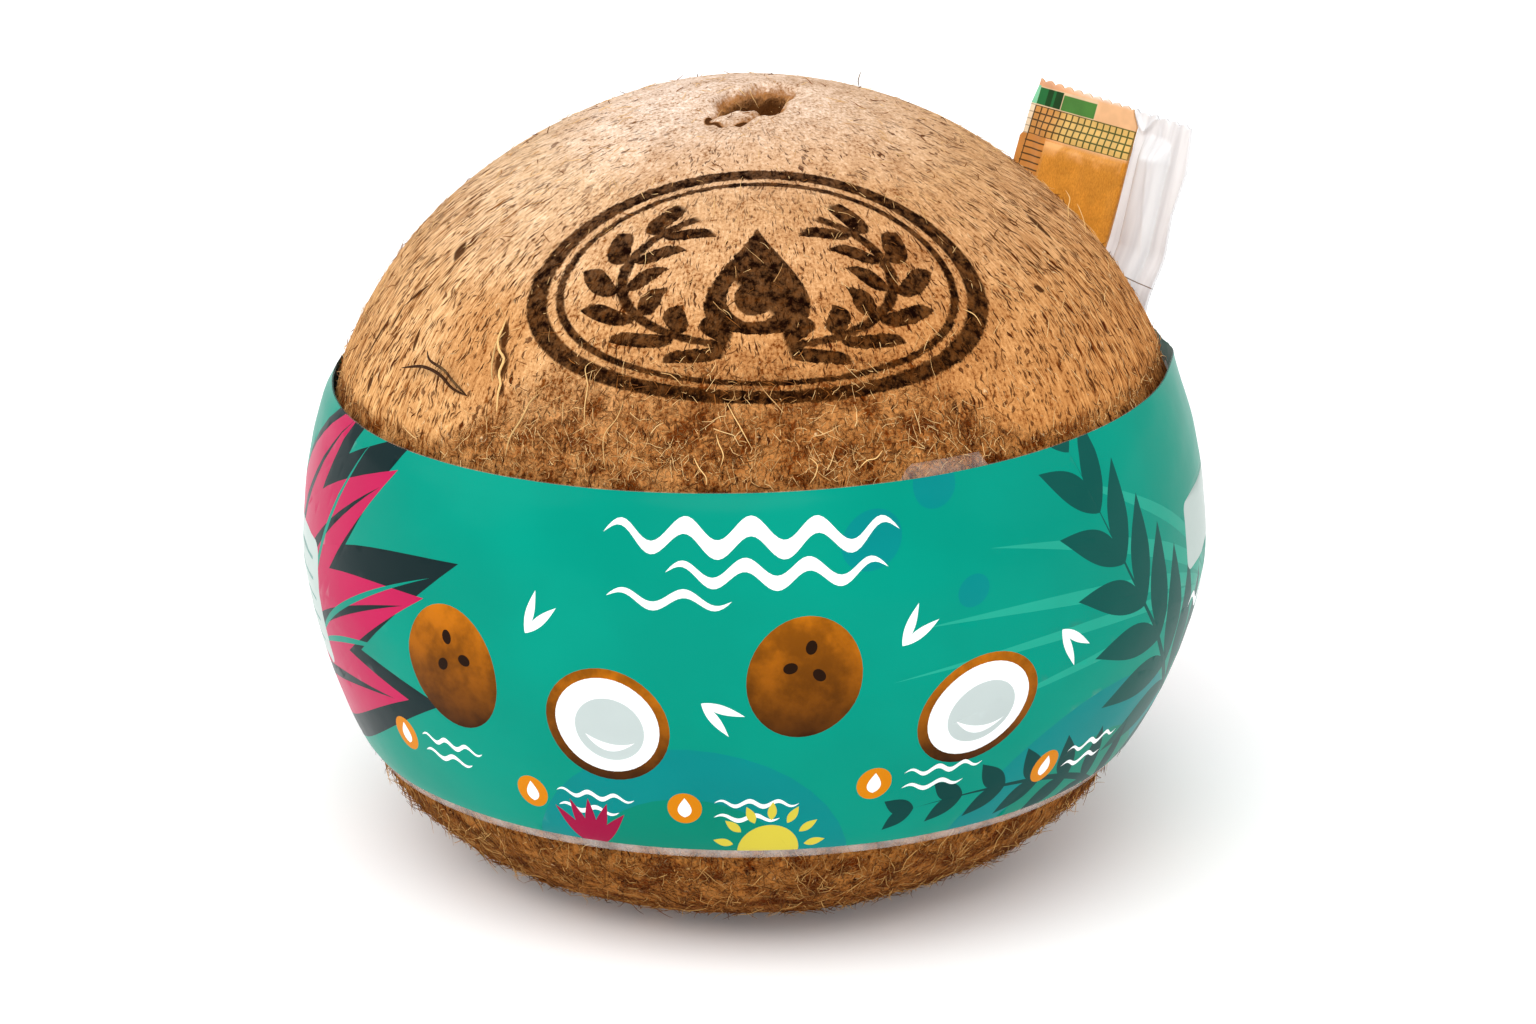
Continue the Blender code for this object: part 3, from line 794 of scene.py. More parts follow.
# Where each kind grows, its material, the size of its curls in mm, its seed, and COIR_SIZES in mm
grow_coir("coir_lying", lambda wool, level: (level > 0) * (0.35 + 0.65 * wool), bright_coir,
          3, 3, 2.6e5, 0.8, 3.4, 0.1, 0.5, 1.1, 0.1)
grow_coir("coir_curled", lambda wool, level: wool**1.5, bright_coir,
          1.8, 7, 7e5, 0.7, 2.6, 0.1, 1.0, 3.1, 0.25)
grow_coir("coir_long", lambda wool, level: wool**0.7, bright_coir,
          3, 5, 2.2e4, 2.4, 5.5, 0.16, 1.4, 1.4, 0.25)
grow_coir("coir_shadow", lambda wool, level: (level > 0) * (0.03 + 0.97 * wool), brown_coir,
          2.4, 11, 1e6, 0.7, 2.8, 0.15, 0.7, 2.2, 0.12)
grow_coir("coir_bowl", lambda wool, level: (level < 0) * 1.0, pale_coir,
          2.6, 17, 3e5, 1, 4.5, 0.12, 0.8, 1.2, 0.35)
grow_coir("coir_bowl_brown", lambda wool, level: (level < 0) * 1.0, brown_coir,
          3, 19, 6e5, 1, 4.2, 0.14, 0.7, 1.2, 0.25)

# Stray fibres: single thick ones that the sanding tore loose. One pair twists over the long crack at the
# left and another pair is forked beside it; the rest hang over the wool or stand off the dome's outline.
# Thickness in mm, tone from 0 brown to 1 straw, and azimuth, level and lift in mm of the points on the way.
STRAYS = (
    (0.75, -0.3, ((-59.9, 32.9, 1.3), (-55.6, 34.1, 1.1), (-51.4, 34.0, 0.9), (-48.4, 33.1, 0.6),
                  (-45.5, 32.8, 0.1))),
    (0.65, -0.2, ((-56.8, 35.9, 0.8), (-54.5, 35.1, 1.2), (-51.0, 34.7, 1.0), (-48.5, 33.8, 0.6),
                  (-45.5, 32.8, 0.1))),
    (0.6, 0.9, ((-44.9, 42.4, 0.0), (-43.9, 41.1, 0.5), (-43.6, 39.8, 0.6), (-42.2, 38.7, 0.8),
                (-40.7, 37.9, 0.7), (-40.7, 36.3, 0.6), (-39.8, 35.2, 0.5), (-39.7, 34.0, 0.4),
                (-39.1, 31.6, 0.0))),
    (0.42, 0.6, ((-43.3, 40.8, 0.2), (-43.7, 39.5, 0.5), (-43.4, 38.2, 0.4), (-42.5, 36.4, 0.4),
                 (-41.5, 34.8, 0.0))),
    (0.4, 0.6, ((-35.6, 27.2, 0.2), (-35.2, 29.4, 0.7), (-34.3, 31.7, 0.6), (-33.7, 34.0, 0.5),
                (-32.7, 35.4, 0.0))),
    (0.24, 0.8, ((-24.5, 32.4, 0.2), (-24.8, 34.6, 0.7), (-25.1, 36.9, 0.8), (-26.2, 38.8, 0.8),
                 (-25.2, 39.8, 0.3))),
    (0.24, 1.0, ((-4.2, 36.5, 0.2), (-3.0, 34.8, 0.9), (-2.1, 33.6, 1.0), (-0.4, 31.1, 0.4))),
    (0.2, 0.7, ((-20.3, 27.6, 0.3), (-20.9, 31.3, 1.0), (-19.5, 33.7, 0.9), (-19.3, 36.3, 0.1))),
    (0.24, 1.0, ((-5.4, 32.8, 0.2), (-4.9, 31.6, 0.9), (-4.2, 30.2, 0.9), (-4.6, 28.9, 0.3))),
    (0.26, 1.0, ((-8.4, 30.2, 0.2), (-7.4, 28.7, 1.0), (-6.4, 27.6, 1.0), (-6.3, 26.7, 0.6))),
    (0.24, 0.9, ((7.3, 30.0, 0.2), (8.2, 29.0, 1.0), (7.9, 27.8, 1.0), (7.2, 26.9, 0.5))),
    (0.26, 1.0, ((13.9, 28.3, 0.3), (14.9, 29.1, 1.0), (16.2, 29.3, 1.0), (17.4, 30.2, 0.6))),
    (0.2, 1.0, ((37.3, 44.3, 0.1), (38.2, 43.6, 0.6), (38.7, 43.0, 0.6), (39.4, 42.1, 0.1))),
    (0.2, 0.9, ((88.4, 46.2, 0.0), (88.8, 47.4, 1.1), (90.4, 48.0, 2.0), (92.5, 48.6, 2.2))),
    (0.18, 0.9, ((89.6, 43.6, 0.0), (91.0, 45.0, 1.0), (94.0, 46.0, 1.5), (97.0, 46.0, 1.5))),
    (0.26, 0.0, ((129.5, 61.6, 0.0), (129.3, 62.0, 0.9), (128.6, 62.3, 1.8), (129.6, 62.4, 2.7))),
    (0.2, 0.3, ((-83.0, 33.0, 0.0), (-84.0, 34.0, 0.9), (-85.0, 34.4, 1.5))),
    (0.3, 0.3, ((148.0, 30.0, 0.0), (151.0, 32.0, 1.0), (156.0, 33.0, 1.1), (161.0, 32.0, 0.3))),
    (0.3, 0.9, ((-120.0, 31.0, 0.0), (-124.0, 33.0, 1.0), (-127.0, 36.0, 0.9), (-129.0, 40.0, 0.0))))


def stray_tree(material):
    """Geometry nodes that make a smooth tapered fibre along each line of points."""
    wiring, start = new_tree("coir_strays", {"Lines": "Geometry"})
    curves = wiring.add("GeometryNodeMeshToCurve", {"Mesh": start["Lines"]})
    curves = wiring.add("GeometryNodeCurveSplineType", {"Curve": curves[0]}, spline_type="CATMULL_ROM")
    curves = wiring.add("GeometryNodeResampleCurve", {"Curve": curves[0], "Count": 26})
    share = wiring.add("GeometryNodeSplineParameter")["Factor"]
    full = 1.0 - abs(share.math("MULTIPLY_ADD", 2.0, -1.0)) ** 3.0
    thickness = wiring.stored("thickness") * full.math("MULTIPLY_ADD", 0.75, 0.25)
    return end_tree(wiring, tubes(curves[0], 6, thickness), material)


STRAY_SINK = 0.35
STRAY_THINNING = 0.62


def make_strays():
    points, edges, thickness, tones = [], [], [], []
    for thick, tone, way in STRAYS:
        for number, (azimuth, level, lift) in enumerate(way):
            if number:
                edges.append((len(points) - 1, len(points)))
            radius = lobed(radius_at(level * MM), math.radians(azimuth)) + (lift - STRAY_SINK) * MM
            points.append(place(math.radians(azimuth), radius, (level + 0.5 * lift) * MM))
            thickness.append(STRAY_THINNING * thick * MM)
            tones.append(tone)
    strays = new_mesh("coir_strays", np.array(points), [])
    strays.data.clear_geometry()
    strays.data.from_pydata([tuple(point) for point in points], edges, [])
    add_attribute(strays, "thickness", thickness)
    add_attribute(strays, "tone", tones)
    material = strand_material("coir_stray", (0.035, 0.011, 0.002), (0.8, 0.5, 0.2))
    return grow(strays, stray_tree(material), {})


strays = make_strays()
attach(strays, "root")
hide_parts("coconut")

# The packet tucked between nut and sleeve: a paper sachet and a straw, side by side in one flat pack.
# The sachet is printed kraft, sealed at both ends, with a filled pillow in its lower part; it is bent
# round the nut below the rim and stands straight above it.
PACKET_AZIMUTH = math.radians(130.1)
PACKET_FACING = math.radians(142)
PACKET_LEAN = math.radians(12)
PACKET_TURN = math.radians(5.7)
PACKET_LEVEL = 26.57 * MM
PACKET_OFF_NUT = 3.5 * MM
PACKET_WIDTH = 28.4 * MM
PACKET_ABOVE_START = 25.5 * MM
PACKET_BELOW_START = 36 * MM
PACKET_BEND = 14 * MM
PACKET_ROWS = 84
FACE_STEP = 0.2 * MM
WRAPPED_OFF_NUT = 3.4 * MM
KRAFT_EDGE = PACKET_WIDTH * 0.148
SIDE_GAP = 0.35 * MM
SEAL_HEIGHT = 4.2 * MM
SEAL_THICKNESS = 0.4 * MM
TOOTH_PITCH = 1.7 * MM
TOOTH_DEPTH = 0.5 * MM
SACHET_THICKNESS = 1.5 * MM
SACHET_MARGIN = 1.6 * MM
STRAW_DIAMETER = 5.0 * MM
STRAW_INSET = 4.4 * MM
STRAW_END_BELOW_TOP = 4.6 * MM
# Measured over the packet in mm: down from its top edge, and across from the print's left edge at the top
PRINT_LEFT = -13.2
LEFT_EDGE = ((0, -0.05), (1.1, -0.15), (3.7, -0.8), (8.2, -1.1), (8.7, -1.55), (13.2, -1.75), (25, -1.0))
KRAFT_RIGHT_EDGE = ((0, 16.5), (1.0, 16.85), (2.55, 17.8), (7.2, 17.55), (14.2, 17.35), (19.9, 17.1),
                    (26, 17.4))
FILM_RIGHT_EDGE = ((0, 26.5), (6.7, 27.3), (13.1, 26.5), (23.4, 27.2), (30, 27.4))
RAIL_SLOPE, RAIL_FAN = 0.086, 0.0026
ROW_SLOPE = 0.0375
GRID_TOP = 3.89
GRID_PITCH = (1.096, 1.057)
PILLOW_LEFT, PILLOW_TOP = 3.65, 8.45


def packet_axes():
    """Where the straight upper part starts, and its ways up and towards the straw."""
    start = place(PACKET_AZIMUTH, radius_at(PACKET_LEVEL) + PACKET_OFF_NUT, PACKET_LEVEL)
    facing = np.array([math.sin(PACKET_FACING), -math.cos(PACKET_FACING), 0])
    level_way = np.array([math.cos(PACKET_FACING), math.sin(PACKET_FACING), 0])
    upright = np.array([0, 0, math.cos(PACKET_LEAN)]) + facing * math.sin(PACKET_LEAN)
    up = upright * math.cos(PACKET_TURN) - level_way * math.sin(PACKET_TURN)
    side = -(level_way * math.cos(PACKET_TURN) + upright * math.sin(PACKET_TURN))
    return start, up, side


def packet_middle(across, along):
    """Middle surface of the packet: straight above its start, bent round the nut below it."""
    start, up, side = packet_axes()
    straight = start + along[..., None] * up + across[..., None] * side
    level = straight[..., 2] - WIDEST
    turn = (along * math.sin(PACKET_TURN) + across * math.cos(PACKET_TURN)) / NUT_RADIUS
    wrapped = place(PACKET_AZIMUTH - turn, radius_at(level) + WRAPPED_OFF_NUT, level)
    return wrapped + (straight - wrapped) * ease(0.5 + along / PACKET_BEND)[..., None]


def packet_face(across, along, offset):
    """Points off the middle surface, outwards from the nut by the offset."""
    up = packet_middle(across, along + FACE_STEP) - packet_middle(across, along - FACE_STEP)
    side = packet_middle(across + FACE_STEP, along) - packet_middle(across - FACE_STEP, along)
    normal = np.cross(up, side)
    normal /= np.linalg.norm(normal, axis=-1, keepdims=True)
    return packet_middle(across, along) + normal * offset[..., None]


def between_seals(along):
    top = ease((PACKET_ABOVE_START - SEAL_HEIGHT - along) / (3 * MM))
    return top * ease((along + PACKET_BELOW_START - SEAL_HEIGHT) / (3 * MM))


def sachet_thickness(across, along):
    left = ease((across + PACKET_WIDTH / 2 - SACHET_MARGIN) / (2 * MM))
    right = ease((KRAFT_EDGE - SIDE_GAP / 2 - across) / (1.5 * MM))
    filled = (SACHET_THICKNESS - SEAL_THICKNESS) * between_seals(along) * left
    return SEAL_THICKNESS + filled * (0.35 + 0.65 * right)


def wrapper_thickness(across, along):
    reach = (across - KRAFT_EDGE - STRAW_INSET) / (STRAW_DIAMETER / 2)
    tube = STRAW_DIAMETER * np.sqrt(np.clip(1 - reach**2, 0, None))
    top = ease((PACKET_ABOVE_START - STRAW_END_BELOW_TOP - along) / (4.5 * MM) + 0.55)
    bottom = ease((along + PACKET_BELOW_START - SEAL_HEIGHT) / (2.5 * MM))
    return np.maximum(SEAL_THICKNESS, tube * top * bottom)


def edge_across(table, along):
    """Where a measured edge runs at a distance along the packet."""
    down = (PACKET_ABOVE_START - along) / MM
    return (np.interp(down, *np.array(table, float).T) + PRINT_LEFT) * MM


def packet_rows():
    """Distances along the packet, wide apart where it is hidden, fine above the rim and at the teeth."""
    ends = (-PACKET_BELOW_START, -2 * MM, PACKET_ABOVE_START - 1 * MM, PACKET_ABOVE_START)
    return np.concatenate([np.linspace(ends[0], ends[1], 28, endpoint=False),
                           np.linspace(ends[1], ends[2], PACKET_ROWS, endpoint=False),
                           np.linspace(ends[2], ends[3], 5)])


def turn_out(piece, weld=0.0):
    """Turn a mesh's faces outwards, after points nearer than weld are joined."""
    work = bmesh.new()
    work.from_mesh(piece.data)
    if weld:
        bmesh.ops.remove_doubles(work, verts=work.verts, dist=weld)
    bmesh.ops.recalc_face_normals(work, faces=work.faces)
    work.to_mesh(piece.data)
    work.free()


def flat_pack(name, left_edge, right_edge, gaps, columns, inner_offset, outer_offset):
    """A closed pack between two measured edges, kept off them by two gaps, its top cut in round teeth."""
    share = np.linspace(0, 1, columns + 1)[None, :]
    along = packet_rows()[:, None] + 0 * share
    left = edge_across(left_edge, along) + gaps[0]
    across = left + share * (edge_across(right_edge, along) - gaps[1] - left)
    tooth = np.abs(np.sin(math.pi * (across + PACKET_WIDTH / 2) / TOOTH_PITCH))
    near_top = ease((along - PACKET_ABOVE_START) / (1 * MM) + 1)
    along = along - TOOTH_DEPTH * (1 - tooth) * near_top
    inner = packet_face(across, along, inner_offset(across, along))
    outer = packet_face(across, along, outer_offset(across, along))
    rows, ring = len(inner), 2 * (columns + 1)
    points = np.concatenate([inner, outer[:, ::-1]], 1)
    faces = grid_faces(rows, ring, closed=True)
    for first in (0, (rows - 1) * ring):
        for column in range(columns):
            far = first + ring - 1 - column
            faces.append((first + column, first + column + 1, far - 1, far))
    piece = new_mesh(name, points, faces)
    turn_out(piece)
    from_left = across / MM - PRINT_LEFT
    from_top = (PACKET_ABOVE_START - along) / MM
    both = [np.concatenate([value, value[:, ::-1]], 1) for value in (from_left, from_top)]
    inside = np.concatenate([np.ones_like(inner[..., 0]), np.zeros_like(inner[..., 0])], 1)
    add_attribute(piece, "on_packet", np.stack([*both, inside], -1), "FLOAT_VECTOR")
    return piece


def pillow(across, along):
    """Rise of the filled part of the sachet above the paper round it, with a bulge at its corner."""
    from_left, down = across / MM - PRINT_LEFT, (PACKET_ABOVE_START - along) / MM
    column = from_left + (RAIL_SLOPE - RAIL_FAN * from_left) * (down - GRID_TOP)
    row = down + ROW_SLOPE * from_left
    puff = 0.12 * np.exp(-((column - 6.5) / 2.2) ** 2 - ((row - 10.5) / 1.6) ** 2)
    sides = ease((column - PILLOW_LEFT) / 0.7) * ease((KRAFT_EDGE - across) / (2.2 * MM))
    return (0.5 + puff) * MM * sides * ease((row - PILLOW_TOP) / 0.8)


def sachet_wrinkles(across, along):
    spots = np.stack([across, along * 0.4, 0 * along], -1)
    return 0.17 * MM * cloud(spots, 3.4 * MM) + 0.05 * MM * cloud(spots, 1.1 * MM)


def sachet_inner(across, along):
    crease = sachet_wrinkles(across, along) * (0.3 + 0.7 * between_seals(along))
    return -sachet_thickness(across, along) / 2 - pillow(across, along) - crease


def sachet_outer(across, along):
    crease = sachet_wrinkles(across + 50 * MM, along) * between_seals(along)
    return sachet_thickness(across, along) / 2 + crease


KRAFT_DARK, KRAFT_LIGHT = (0.52, 0.193, 0.017), (0.7, 0.3, 0.034)
KRAFT_PALE = ((0.68, 0.33, 0.16), (0.8, 0.47, 0.24))
PILLOW_HIGHLIGHT, HAZE = (0.74, 0.4, 0.16), (0.82, 0.74, 0.7)
GRID_CELLS = ((0.55, 0.25, 0.06), (0.68, 0.44, 0.13))
GRID_RIGHT, GRID_END = 17.7, GRID_TOP + 4 * GRID_PITCH[1]
MARGIN_LEFT, SACHET_FOOT = -3.0, 99.0
RUNG_GROUND, CREAM = (0.55, 0.22, 0.045), (0.82, 0.66, 0.45)
INK_LEFT, INK_RIGHT = (0.035, 0.02, 0.002), (0.025, 0.055, 0.008)
PRINT_SOFTNESS = 0.05
# The fields at the top, each painted over those before: left, right, top and bottom of its boxes, and ink
TOP_FIELDS = ((((-0.05, 10.25, 1.08, 3.86),), (0.7, 0.5, 0.3)),
              (((0.05, 4.15, 1.22, 3.7),), (0.01, 0.13, 0.03)),
              (((1.5, 2.45, 1.22, 3.7), (2.9, 4.15, 1.22, 3.7)), (0.004, 0.045, 0.006)),
              (((4.3, 10.15, 1.49, 3.74),), (0.06, 0.2, 0.035)),
              (((MARGIN_LEFT, 0.05, 1.0, 3.72),), (0.2, 0.56, 0.33)))


def kraft_material():
    """Brown paper under a thin film, printed inside with a plain grid, two plain green fields and rungs."""
    material, wiring = new_material("printed_kraft", Roughness=0.6, Specular_IOR_Level=0.16,
                                    Coat_Weight=0.12, Coat_Roughness=0.3)
    spot = wiring.read("on_packet", "Vector")
    across, down, inner = parts(spot)
    fan = across.math("MULTIPLY_ADD", -RAIL_FAN, RAIL_SLOPE)
    column = across + fan * (down - GRID_TOP)
    row = across.math("MULTIPLY_ADD", ROW_SLOPE, down)

    def between(value, start, end):
        return (fade(value, start - PRINT_SOFTNESS, start + PRINT_SOFTNESS)
                * fade(value, end + PRINT_SOFTNESS, end - PRINT_SOFTNESS))

    def box(left, right, top, bottom):
        return between(column, left, right) * between(row, top, bottom)

    def lines(value, start, pitch, half):
        phase = ((value - start) / pitch).math("FRACT")
        off = phase.math("PINGPONG", 0.5) * pitch
        return fade(off, half + 0.05, half - 0.03)

    fibres = wiring.vector(across * 3.0, down, inner).noise(2.2, 4, 0.7)
    cloudy = spot.noise(0.35, 2)
    paper = mix(fade(fibres, 0.3, 0.7), KRAFT_DARK, KRAFT_LIGHT)
    colour = mix(fade(row, 8.8, 7.9), paper, mix(fade(across, 2.0, 9.0), *KRAFT_PALE))
    # Painted highlight: the pillow is painted paler in cloudy patches along its top edge.
    pillow_highlight = fade(row, 11.0, 8.6) * fade(cloudy, 0.42, 0.62, 0.15, 0.75)
    colour = mix(pillow_highlight * box(PILLOW_LEFT, 17.0, 8.5, SACHET_FOOT), colour, PILLOW_HIGHLIGHT)
    grid = box(0.05, GRID_RIGHT, GRID_TOP - 0.05, GRID_END)
    colour = mix(grid, colour, mix(fade(column, 2.8, 6.5), *GRID_CELLS))
    colour = mix(box(MARGIN_LEFT, PILLOW_LEFT, GRID_END, SACHET_FOOT), colour, RUNG_GROUND)
    colour = mix(box(MARGIN_LEFT, 0.06, 3.7, 8.2), colour, CREAM)
    squares = most(lines(column, 0.09, GRID_PITCH[0], 0.115), lines(row, GRID_TOP, GRID_PITCH[1], 0.1))
    rungs = lines(row, 9.12, 1.0, 0.1) * box(-0.1, PILLOW_LEFT, 8.7, SACHET_FOOT)
    rail = box(0.0, 0.19, GRID_TOP, SACHET_FOOT)
    ticks = lines(row, GRID_TOP, GRID_PITCH[1], 0.06) * box(MARGIN_LEFT, 0.1, 3.8, 8.2)
    drawn = most(squares * grid, rungs, most(rail, ticks * 0.6))
    colour = mix(drawn * 0.92, colour, mix(fade(column, 3.0, 12.0), INK_LEFT, INK_RIGHT))
    for boxes, ink_colour in TOP_FIELDS:
        colour = mix(most(*(box(*edges) for edges in boxes)), colour, ink_colour)
    colour = mix(fade(row, 1.2, 0.3) * fade(across, 3.5, 12.0, 0.1, 0.85), colour, HAZE)
    colour = mix(inner, paper, colour)
    wiring.drive("Base Color", colour.vectors("SCALE", fade(cloudy, 0.35, 0.65, 0.9, 1.06)))
    wiring.bump(fibres * 0.3 + cloudy, 0.12 * MM, 0.5)
    return material


sachet = flat_pack("kraft_paper_sachet", LEFT_EDGE, KRAFT_RIGHT_EDGE, (0, SIDE_GAP / 2), 90,
                   sachet_inner, sachet_outer)
sachet.data.materials.append(kraft_material())
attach(sachet, "root")
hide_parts("kraft_sachet")

# The straw: a white extruded tube, open at both ends, lying in the clear film beside the sachet and bent
# with it round the nut
STRAW_WALL = 0.25 * MM
STRAW_SIDES, STRAW_ROWS = 28, 64
STRAW_CLEAR = 0.12 * MM


def make_straw():
    bottom = -PACKET_BELOW_START + SEAL_HEIGHT + 1.5 * MM
    top = PACKET_ABOVE_START - STRAW_END_BELOW_TOP - 2.1 * MM
    along = np.linspace(bottom, top, STRAW_ROWS)[:, None]
    turn = np.linspace(0, 2 * math.pi, STRAW_SIDES, endpoint=False)[None, :]
    walls = []
    outside = STRAW_DIAMETER / 2 - STRAW_CLEAR
    for radius in (outside, outside - STRAW_WALL):
        across = KRAFT_EDGE + STRAW_INSET + radius * np.cos(turn) + 0 * along
        walls.append(packet_face(across, along + 0 * turn, radius * np.sin(turn) + 0 * along))
    rows = np.concatenate([walls[0], walls[1][::-1], walls[0][:1]])
    faces = grid_faces(len(rows), STRAW_SIDES, closed=True)
    piece = new_mesh("straw", rows, faces)
    turn_out(piece, weld=0.001 * MM)
    piece.data.set_sharp_from_angle(angle=math.radians(50))
    return piece


straw_plastic, wiring = new_material("white_straw", Roughness=0.35)
streaks = wiring.add("ShaderNodeTexCoord")["Object"].noise(120.0, 2)
wiring.drive("Base Color", mix(streaks, (0.78, 0.76, 0.75), (0.87, 0.86, 0.85)))
straw = make_straw()
straw.data.materials.append(straw_plastic)
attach(straw, "root")
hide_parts("straw_wrapper")

# The wrapper: clear polypropylene film, drawn round the straw and sealed flat beside it and at both ends,
# creased lengthwise in its loose margin and gathered in a pointed fold beside the straw's end
FILM_CLEAR = 0.06 * MM
GATHER_MIDDLE, GATHER_HALF_WIDTH, GATHER_LENGTH = 18.95, 2.05, 3.0
FOLD_DOWN, FOLD_ACROSS = (1.8, 22.6), (21.6, 24.4)
LOW_LINE_PATH = ((21.3, 22.7), (24.5, 23.34), (27.6, 23.4))
FILM_FOLD_SHADES, LOW_LINE_BROWN = ((0.66, 0.65, 0.66), (0.9, 0.89, 0.89)), (0.16, 0.1, 0.06)


def film_creases(across, along):
    """Long soft folds beside the straw, one sharper fold over it and the gather at the top seal."""
    from_left, down = across / MM - PRINT_LEFT, (PACKET_ABOVE_START - along) / MM
    fold = np.interp(down, FOLD_DOWN, FOLD_ACROSS)
    margin = ease((from_left - fold) / 1.2 + 0.2)
    spots = np.stack([across, along * 0.05, 0 * along], -1)
    crease = 0.17 * MM * cloud(spots, 1.7 * MM) + 0.07 * MM * cloud(spots, 0.8 * MM)
    top = ease(down / 1.4)
    sharp = 0.16 * MM * np.exp(-((from_left - fold) / 0.28) ** 2) * ease((down - 1) / 2)
    half = GATHER_HALF_WIDTH * np.clip(1 - down / GATHER_LENGTH, 0, 1)
    arms = np.exp(-((np.abs(from_left - GATHER_MIDDLE) - half) / 0.3) ** 2)
    gather = 0.5 * MM * arms * ease((GATHER_LENGTH + 0.5 - down) / 1.2) * ease(down / 0.5)
    over_tube = 0.04 * MM * cloud(spots, 1.6 * MM) * (1 - margin)
    return crease * margin * top + gather + sharp + over_tube


def wrapper_inner(across, along):
    return -wrapper_thickness(across, along) / 2 - FILM_CLEAR - film_creases(across, along)


def wrapper_outer(across, along):
    return wrapper_thickness(across, along) / 2 + FILM_CLEAR - film_creases(across, along) * 0.8


def clear_film_material():
    """Thin film: see-through, less clear and painted greyer as shade in its fold hollows, milky at seals, a
    dark line low on it.
    """
    material, wiring = new_material("clear_film", Roughness=0.22, Specular_IOR_Level=0.4)
    spot = wiring.read("on_packet", "Vector")
    across, down, inner = parts(spot)
    folds = wiring.vector(across * 0.9, down * 0.05, inner).noise(1.1, 2, 0.5)
    pieces = []
    # A thin dark brown line drawn along a path low on the film.
    for (left, top), (right, bottom) in zip(LOW_LINE_PATH, LOW_LINE_PATH[1:]):
        slope = (bottom - top) / (right - left)
        level = across.math("MULTIPLY_ADD", slope, top - slope * left)
        near = fade(abs(down - level), 0.1, 0.04)
        pieces.append(near * ((across > left) * (across < right)))
    line = most(*pieces) * inner
    # Painted shade: the film is greyer in the hollows of its folds.
    base = mix(fade(folds, 0.3, 0.68), *FILM_FOLD_SHADES)
    wiring.drive("Base Color", mix(line, base, LOW_LINE_BROWN))
    seal = fade(down, 4.6, 3.4, 0.0, 0.66)
    wiring.drive("Alpha", most(fade(folds, 0.3, 0.7, 0.82, 0.68), seal, line * 0.9))
    wiring.bump(folds, 0.2 * MM, 0.4)
    return material


wrapper = flat_pack("straw_film", KRAFT_RIGHT_EDGE, FILM_RIGHT_EDGE, (SIDE_GAP / 2, 0), 80,
                    wrapper_inner, wrapper_outer)
wrapper.data.materials.append(clear_film_material())
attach(wrapper, "root")
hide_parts("straw_wrapper")

# The sleeve: a printed plastic tube with a welded seam at the back, shrunk by heat round the widest part
# of the nut. It holds the packet to the nut, and runs over it in straight tangents. The print stops short
# of both cut edges, where the film is clear, as is the small tab on the rim for tearing it off.
SLEEVE_GAP = 0.42 * MM
SLEEVE_WALL = 0.45 * MM
FILM_WALL = 0.2 * MM
SLEEVE_ROWS = 50
SLEEVE_COLUMNS = 392
AROUND = 62.6
TAB_AZIMUTH = math.radians(26)
TAB_HALF_WIDTH = math.radians(6)
TAB_EDGE = math.radians(0.35)
TAB_HEIGHT = 1.7 * MM
BRIDGE_SLOPE = 0.8
BRIDGE_SPREAD = math.radians(1.3)
BRIDGE_REACH = 2.5 * MM
CLEAR_BOTTOM = 1.5
CLEAR_TOP = 0.1
SEAM_HALF_WIDTH = 2.4
SEAM_STEP = 0.14 * MM
# How much closer the film lies along its cut edges, and where the packet holds the upper one off
EDGE_REACH, RIM_HUG, FOOT_HUG = 2.4 * MM, 0.42 * MM, 0.4 * MM
LOOSE_RIM_START, LOOSE_RIM_END = math.radians(40), math.radians(170)
INK_SHARE = 0.68
CLEAR_EDGE = (0.8, 0.74, 0.7)


def tinted(red, green, blue):
    """What an ink reflects that looks like a screen colour of 0 to 255 in bright light."""
    share = np.array([red, green, blue]) / 255
    linear = np.where(share < 0.04045, share / 12.92, ((share + 0.055) / 1.055) ** 2.4)
    return tuple(INK_SHARE * linear)


TEAL = tinted(0, 161, 138)
POOL = tinted(4, 148, 146)
PALE_TEAL = tinted(40, 181, 155)
DEEP_TEAL = tinted(0, 147, 122)
LEAF_GREEN = tinted(14, 92, 84)
LEAF_SHADE = tinted(8, 74, 70)
BLACK_TEAL = tinted(24, 45, 47)
MAGENTA = tinted(213, 36, 95)
DARK_MAGENTA = tinted(176, 20, 72)
ORANGE = tinted(240, 146, 14)
YELLOW = tinted(238, 219, 76)
WHITE = (0.86, 0.88, 0.88)
HUSK_LIGHT = tinted(196, 112, 14)
HUSK_DARK = tinted(66, 34, 8)
PORE_BROWN = tinted(40, 20, 6)
MILK = tinted(214, 226, 224)
PALE_LABEL = tinted(212, 228, 222)
LABEL_RULE = tinted(120, 170, 162)
shapes = []


def ink(outline, colour, foot=None, mottled=0.0):
    """Print a closed outline in mm round and up the sleeve; foot is its colour at the lower end."""
    outline = np.asarray(outline, float)
    ahead = np.roll(outline, -1, 0)
    if np.sum(outline[:, 0] * ahead[:, 1] - ahead[:, 0] * outline[:, 1]) < 0:
        outline = outline[::-1]
    shapes.append((outline, colour, foot or colour, mottled))


def leaf(base, tip, width, bow=0.0, fullness=0.85):
    """Outline of a pointed leaf; bow bends it, as a share of its length."""
    base, tip = np.array(base, float), np.array(tip, float)
    share = np.linspace(0, 1, 18)[:, None]
    way = tip - base
    across = np.array([-way[1], way[0]])
    middle = base + share * way + 4 * bow * share * (1 - share) * across
    half = width / 2 * np.sin(math.pi * share**fullness) * across / np.linalg.norm(across)
    return np.concatenate([middle + half, (middle - half)[-2:0:-1]])


